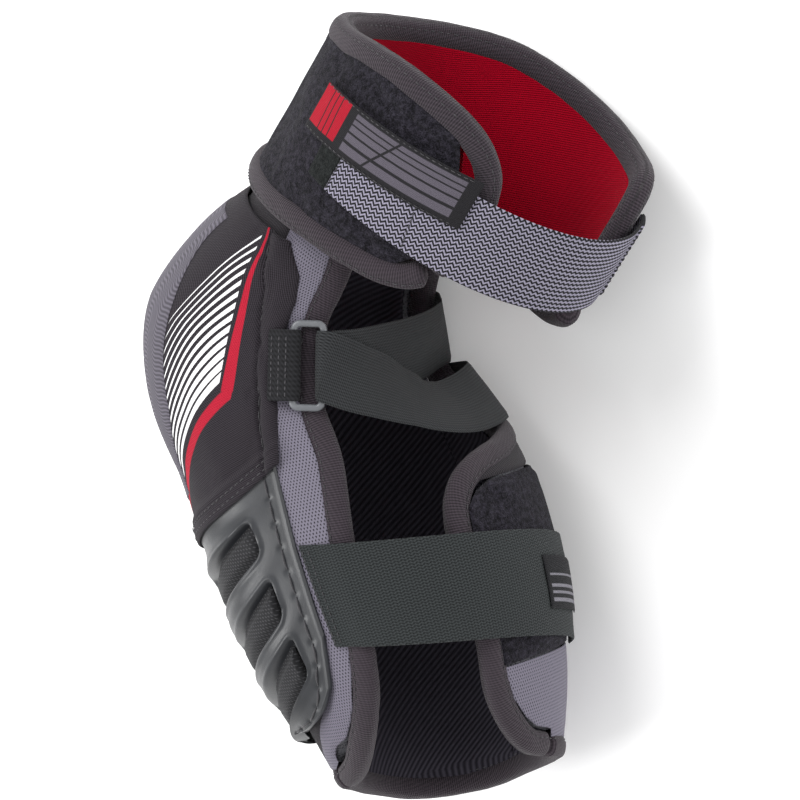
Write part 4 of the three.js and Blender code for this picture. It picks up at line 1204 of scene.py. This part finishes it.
def make_forearm_strap():
    centre, per_station = 2.42, 40
    v0 = centre + spread(40, 0.7)[:, None] * 45 / per_station - 22.5 / per_station
    angle = np.linspace(-86, 44, 200)[None] + 0 * v0
    v = forearm_row(angle, v0)
    lift = forearm_lift(angle) + 0.12 * ripple(angle / 9, v0 * 6, 3)
    strap = layer("forearm_elastic", sleeve, angle, v, lift, lift + WEBBING, 0.8)
    finish_piece(strap, ELASTIC, "forearm_strap", "forearm_strap")
    v1 = centre + (np.linspace(-0.5, 0.5, 16) * 37 / per_station)[:, None]
    angle = np.linspace(8, 42, 40)[None] + 0 * v1
    hook = layer("forearm_hook_patch", sleeve, angle, forearm_row(angle, v1), 1.75, 2.9, 0.5)
    finish_piece(hook, HOOK, "forearm_strap_hook", "forearm_strap")
    v2 = centre + np.linspace(-0.285, 0.285, 24)[:, None]
    angle = np.linspace(1, 34, 50)[None] + 0 * v2
    print_uv = np.stack(np.broadcast_arrays((angle - 1) / 33, (v2 - centre) / 0.57 + 0.5), -1)
    label = layer("forearm_label", sleeve, angle, forearm_row(angle, v2), 5.0, 5.8, 0.5,
                  print_uv=print_uv)
    finish_piece(label, FOREARM_LABEL, "forearm_strap_label", "forearm_strap")
    for k, at in enumerate((-85.0, -82.8, 42.6)):
        row = np.linspace(centre - 0.53, centre + 0.53, 60)
        a = np.full(60, at)
        stitches(f"forearm_strap_stitching_{k + 1}",
                 sleeve(a, forearm_row(a, row), forearm_lift(a) + WEBBING),
                 normal_of(sleeve, a, row), THREAD, "forearm_strap", 2.0, 1.0, 0.26)


RING_V, RING_ANGLE = 5.85, -59.5
UPPER_WIDTH, LOWER_WIDTH = 30, 29.5  # of the elbow strap's two runs
RING_BAR, RING_REACH, RING_HALF, RING_CORNER = 3.0, 6.2, 17.6, 2.6
WRAP = 2.45  # from the middle of a ring bar to the middle of the webbing round it
STAND_OFF = [(-51, 4.2), (-42, 1), (-20, -9), (0, -12), (20, -11.5), (40, -8), (54, -2.4),
             (63, 3), (70, 4.8), (77, 4.6), (84, 3.6)]
FREE_PATH = [(5.72, -49, 7.2), (5.55, -42, 5), (5.2, -30, -0.4), (4.82, -18, -5),
             (4.54, -8, -7), (4.4, 5, -7), (4.42, 20, -3.5), (4.5, 34, 1.6), (4.52, 45, 3.4),
             (4.48, 58, 3.4), (4.45, 68, 3.2), (4.45, 78, 2.3)]


def unit(v):
    return v / np.linalg.norm(v)


def ring_axes():
    """Centre of the ring and its directions round the arm, out, and up along the bars."""
    up = unit(sleeve(RING_ANGLE, RING_V + 0.5) - sleeve(RING_ANGLE, RING_V - 0.5))
    out = unit(sleeve(RING_ANGLE, RING_V, 1.0) - sleeve(RING_ANGLE, RING_V, 0.0))
    around = unit(np.cross(out, up))
    if around[0] < 0:
        around = -around
    out = unit(np.cross(around, up))
    if out[2] < 0:
        out = -out
    return sleeve(RING_ANGLE, RING_V, 5.2), around, out, up


def make_ring():
    centre, around, out, up = ring_axes()
    bar, reach, half, corner = RING_BAR, RING_REACH, RING_HALF, RING_CORNER
    path = []
    for k, (a, u) in enumerate(((1, 1), (-1, 1), (-1, -1), (1, -1))):
        for q in np.linspace(0, 90, 9):
            t = math.radians(q + 90 * k)
            x = a * (reach - corner) + corner * math.cos(t)
            y = u * (half - corner) + corner * math.sin(t)
            path.append(centre + (around * x + up * y) / 1000)
    path = np.array(path)
    turn = np.arange(16) * math.pi / 8
    section = np.stack([bar / 2 * np.sign(np.cos(turn)) * np.abs(np.cos(turn)) ** 0.75,
                        bar / 2 * np.sign(np.sin(turn)) * np.abs(np.sin(turn)) ** 0.75], -1)
    ring = sweep("strap_ring_bar", path, np.tile(out, (len(path), 1)), section, 0.003, True)
    finish_piece(ring, RING, "strap_ring")

    # The webbing tab comes from under the cover, round the ring's back bar and back.
    turn = np.radians(np.linspace(90, 270, 17))
    bend = [(-reach + 2.6 * math.cos(q + math.pi), 2.6 * math.sin(q)) for q in turn]
    tail = -reach - 10.5
    upper = [(tail, -1.2), (tail + 3, 0.4), (tail + 6, 1.9)]
    lower = [(tail + 6, -2.9), (tail + 3, -3.0), (tail, -3.1)]
    route = centripetal(upper + bend + lower, 60)
    points = centre + (around[None] * route[:, :1] + out[None] * route[:, 1:]) / 1000
    tangent = np.gradient(route, axis=0)
    normals = -around[None] * tangent[:, 1:] + out[None] * tangent[:, :1]
    tab = strap_sweep("ring_tab_webbing", points, normals, 30, 1.15)
    finish_piece(tab, TAB_WEB, "ring_tab")
    for k, x in enumerate((tail + 1.2, tail + 4.4, tail + 7.4)):
        y = np.interp(x, route[:30, 0], route[:30, 1]) + 0.5
        row = np.linspace(-13.6, 13.6, 40)
        p = centre + (around * x + out * y + up[None] * row[:, None]) / 1000
        stitches(f"ring_tab_stitching_{k + 1}", p, np.tile(out, (40, 1)), GREY_THREAD, "sleeve",
                 1.7, 0.9, 0.26)


def make_elbow_straps():
    x, z, tilt, front, _, side = [float(q) for q in station(RING_V)]
    tilt = math.radians(tilt)
    pairs = []
    for angle, d in STAND_OFF:
        a = math.radians(angle)
        reach = (front + d) * math.cos(a)
        pairs.append((x + reach * math.cos(tilt), (side + d) * math.sin(a),
                      z - reach * math.sin(tilt)))
    curve = centripetal(pairs, 130)
    points = place(curve[:, 0], curve[:, 1], curve[:, 2])
    up = place(math.sin(tilt), 0, math.cos(tilt)) - ORIGIN
    up = unit(up)
    along = np.gradient(points, axis=0)
    normals = np.cross(along, up)
    normals = normals / np.linalg.norm(normals, axis=1, keepdims=True)
    angle = np.degrees(np.arcsin(np.clip(curve[:, 1] / side, -1, 1)))
    real = normal_of(sleeve, angle, np.full(len(angle), RING_V))
    w = smooth((curve[:, 1] - 40) / 18)[:, None]
    normals = normals * (1 - w) + real * w
    fixed = strap_sweep("elbow_strap_upper_run", points, normals, UPPER_WIDTH, WEBBING, 0.25, 4)
    finish_piece(fixed, WEB, "elbow_strap_fixed_run")

    # The lower run starts with a turn round the ring's front bar.
    centre, around, out, _ = ring_axes()
    turn = np.radians([-50, 0, 50, 90])[:, None]
    wrap = centre + (around * (RING_REACH - WRAP * np.cos(turn)) + out * WRAP * np.sin(turn)) / 1000
    rows, angles, offsets = np.array(FREE_PATH[1:]).T
    keys = np.concatenate([wrap, sleeve(angles, rows, offsets)])
    key_normals = np.concatenate([out * np.sin(turn) - around * np.cos(turn),
                                  normal_of(sleeve, angles, rows)])
    path = centripetal(keys, 170)
    run = np.concatenate([[0], np.cumsum(np.linalg.norm(np.diff(path, axis=0), axis=1))])
    key_run = [run[np.argmin(np.linalg.norm(path - key, axis=1))] for key in keys]
    normals = np.stack([np.interp(run, key_run, key_normals[:, c]) for c in range(3)], -1)
    free = strap_sweep("elbow_strap_lower_run", path, normals, LOWER_WIDTH, WEBBING, 0.25, 9)
    finish_piece(free, WEB, "elbow_strap_free_run", "elbow_strap")


def make_bicep_strap():
    middle, width = 59, 38
    s = middle + width * (spread(44, 0.7) - 0.5)[:, None]
    angle = np.linspace(-100, 30, 240)[None] + 0 * s
    hem = 1.2 * smooth((angle - 21) / 1.2)
    dent = -0.45 * np.exp(-((angle + 72 + 0.12 * (s - middle)) / 0.7) ** 2)
    lift = 3.2 + 0.12 * ripple(angle / 8, s / 12, 5)
    strap = layer("bicep_elastic", cuff, angle, s, lift, lift + WEBBING + hem + dent, 0.8)
    finish_piece(strap, ZIGZAG, "bicep_strap", "bicep_strap")
    s1 = middle + width * (spread(30, 0.6) - 0.5)[:, None]
    share = (s1 - middle + width / 2) / width
    t = np.linspace(0, 1, 20)[None]
    first = -108.6 + 3.4 * share - 2.2 * np.sin(np.pi * share) + 3 * smooth((share - 0.75) / 0.25)
    angle = first + (-99.4 - first) * t
    tab = layer("bicep_pull_tab", cuff, angle, s1 + 0 * t, 3.0, 4.7, 0.9)
    finish_piece(tab, HOOK, "bicep_strap_tab", "bicep_strap")
    s2 = middle + 34 * (np.linspace(0, 1, 20) - 0.5)[:, None]
    angle = np.linspace(-99, -70, 40)[None] + 0 * s2
    hook = layer("bicep_hook_patch", cuff, angle, s2, 1.9, 2.9, 0.5)
    finish_piece(hook, HOOK, "bicep_strap_hook", "bicep_strap")
    t2 = spread(40)[:, None]
    angle = np.linspace(-119, -58.5, 150)[None] + 0 * t2
    s3 = 53.5 + 0.14 * (angle + 119) + 23 * t2
    print_uv = np.stack(np.broadcast_arrays((angle + 119) / 60.5, t2 + 0 * angle), -1)
    ripples = 0.25 * ripple(angle / 7, t2 * 3, 17)
    label = layer("bicep_woven_label", cuff, angle, s3, 5.2, 6.1 + ripples, 0.6,
                  print_uv=print_uv)
    finish_piece(label, LABEL, "bicep_label", "bicep_strap")
    row = np.linspace(-18, 18, 60)
    for k, (at, lean, lift) in enumerate(((-99.2, 0.0, 4.65), (-72.0, -0.12, 4.35),
                                          (21.6, 0.0, 5.5), (28.8, 0.0, 5.75))):
        a = at + lean * row
        stitches(f"bicep_strap_stitching_{k + 1}", cuff(a, middle + row, lift),
                 normal_of(cuff, a, middle + row), THREAD, "bicep_strap", 1.9, 1.0, 0.27)
    a = np.linspace(-118, -59.5, 200)
    for k, share in enumerate((0.04, 0.96)):
        line = 53.5 + 0.14 * (a + 119) + 23 * share
        stitches(f"bicep_label_stitching_{k + 1}", cuff(a, line, 6.05), normal_of(cuff, a, line),
                 THREAD, "bicep_strap", 1.9, 1.0, 0.24)


# ---------------------------------------------------------------- floor, lights, camera
def make_stage():
    mesh = bpy.data.meshes.new("studio_floor")
    r = 6.0
    mesh.from_pydata([(-r, -r, 0), (r, -r, 0), (r, r, 0), (-r, r, 0)], [], [(0, 1, 2, 3)])
    floor = bpy.data.objects.new("studio_floor", mesh)
    bpy.context.scene.collection.objects.link(floor)
    look = Look("studio_floor", 0.9, specular=0.1)
    look.color(look.mix(look.noise(0.6, 2), (0.95, 0.95, 0.95, 1), (0.97, 0.97, 0.97, 1)))
    look.shader.inputs["Emission Color"].default_value = (1, 1, 1, 1)
    look.shader.inputs["Emission Strength"].default_value = 0.12
    floor.data.materials.append(look.material)


def add_light(name, spot, target, size, power):
    data = bpy.data.lights.new(name, "AREA")
    data.shape, data.size, data.energy = "DISK", size, power
    obj = bpy.data.objects.new(name, data)
    bpy.context.scene.collection.objects.link(obj)
    obj.location = spot
    obj.rotation_mode = "QUATERNION"
    obj.rotation_quaternion = (Vector(target) - Vector(spot)).to_track_quat("-Z", "Y")


# The camera looks at the inner side of the lying pad. Its direction is held as azimuth,
# elevation and roll in the pad's own drawing, where the forearm is upright.
CAMERA_AZIMUTH, CAMERA_ELEVATION, CAMERA_ROLL = 34, 1, 14
CAMERA_DISTANCE = 1.7
LENS = 175.9
AIM_RIGHT, AIM_UP = -0.0174, 0.1631  # from the middle of the wrist to the picture's middle


def camera_axes():
    az, el, roll = map(math.radians, (CAMERA_AZIMUTH, CAMERA_ELEVATION, CAMERA_ROLL))
    forward = np.array([-math.sin(az) * math.cos(el), math.cos(az) * math.cos(el), -math.sin(el)])
    right = unit(np.cross(forward, [0, 0, 1]))
    up = np.cross(right, forward)
    turned_right = math.cos(roll) * right - math.sin(roll) * up
    turned_up = math.sin(roll) * right + math.cos(roll) * up
    to_row = lambda w: Vector((w[0], w[2], -w[1]))
    return to_row(turned_right), to_row(turned_up), to_row(forward)


def make_camera():
    right, up, forward = camera_axes()
    wrist = Vector(place(0.0, 0.0, 1.0))
    aim = wrist + right * AIM_RIGHT + up * AIM_UP
    data = bpy.data.cameras.new("camera")
    data.lens = LENS
    camera = bpy.data.objects.new("camera", data)
    bpy.context.scene.collection.objects.link(camera)
    rotation = Matrix((right, up, -forward)).transposed()
    camera.matrix_world = Matrix.Translation(aim - forward * CAMERA_DISTANCE) @ rotation.to_4x4()
    bpy.context.scene.camera = camera
    return aim, right, up, forward


def make_lights(aim, right, up, forward):
    back = -forward
    add_light("key", aim + (back * 1.1 + up * 0.9 - right * 0.9) * 1.0, aim, 0.9, 16)
    add_light("fill", aim + (back * 1.2 + right * 1.1 + up * 0.1) * 1.0, aim, 1.0, 8)
    add_light("rim", aim + (-right * 1.3 - up * 0.5 + back * 0.25), aim, 0.6, 9)
    world = bpy.data.worlds.new("studio")
    world.use_nodes = True
    world.node_tree.nodes["Background"].inputs[0].default_value = (1, 1, 1, 1)
    world.node_tree.nodes["Background"].inputs[1].default_value = 0.85
    bpy.context.scene.world = world
    bpy.context.scene.view_settings.view_transform = "Standard"


make_lights(*make_camera())
make_stage()
make_sleeve()
make_wing()
make_tapes()
make_guard()
make_cap()
make_cuff()
make_gusset()
make_forearm_strap()
make_ring()
make_elbow_straps()
make_bicep_strap()
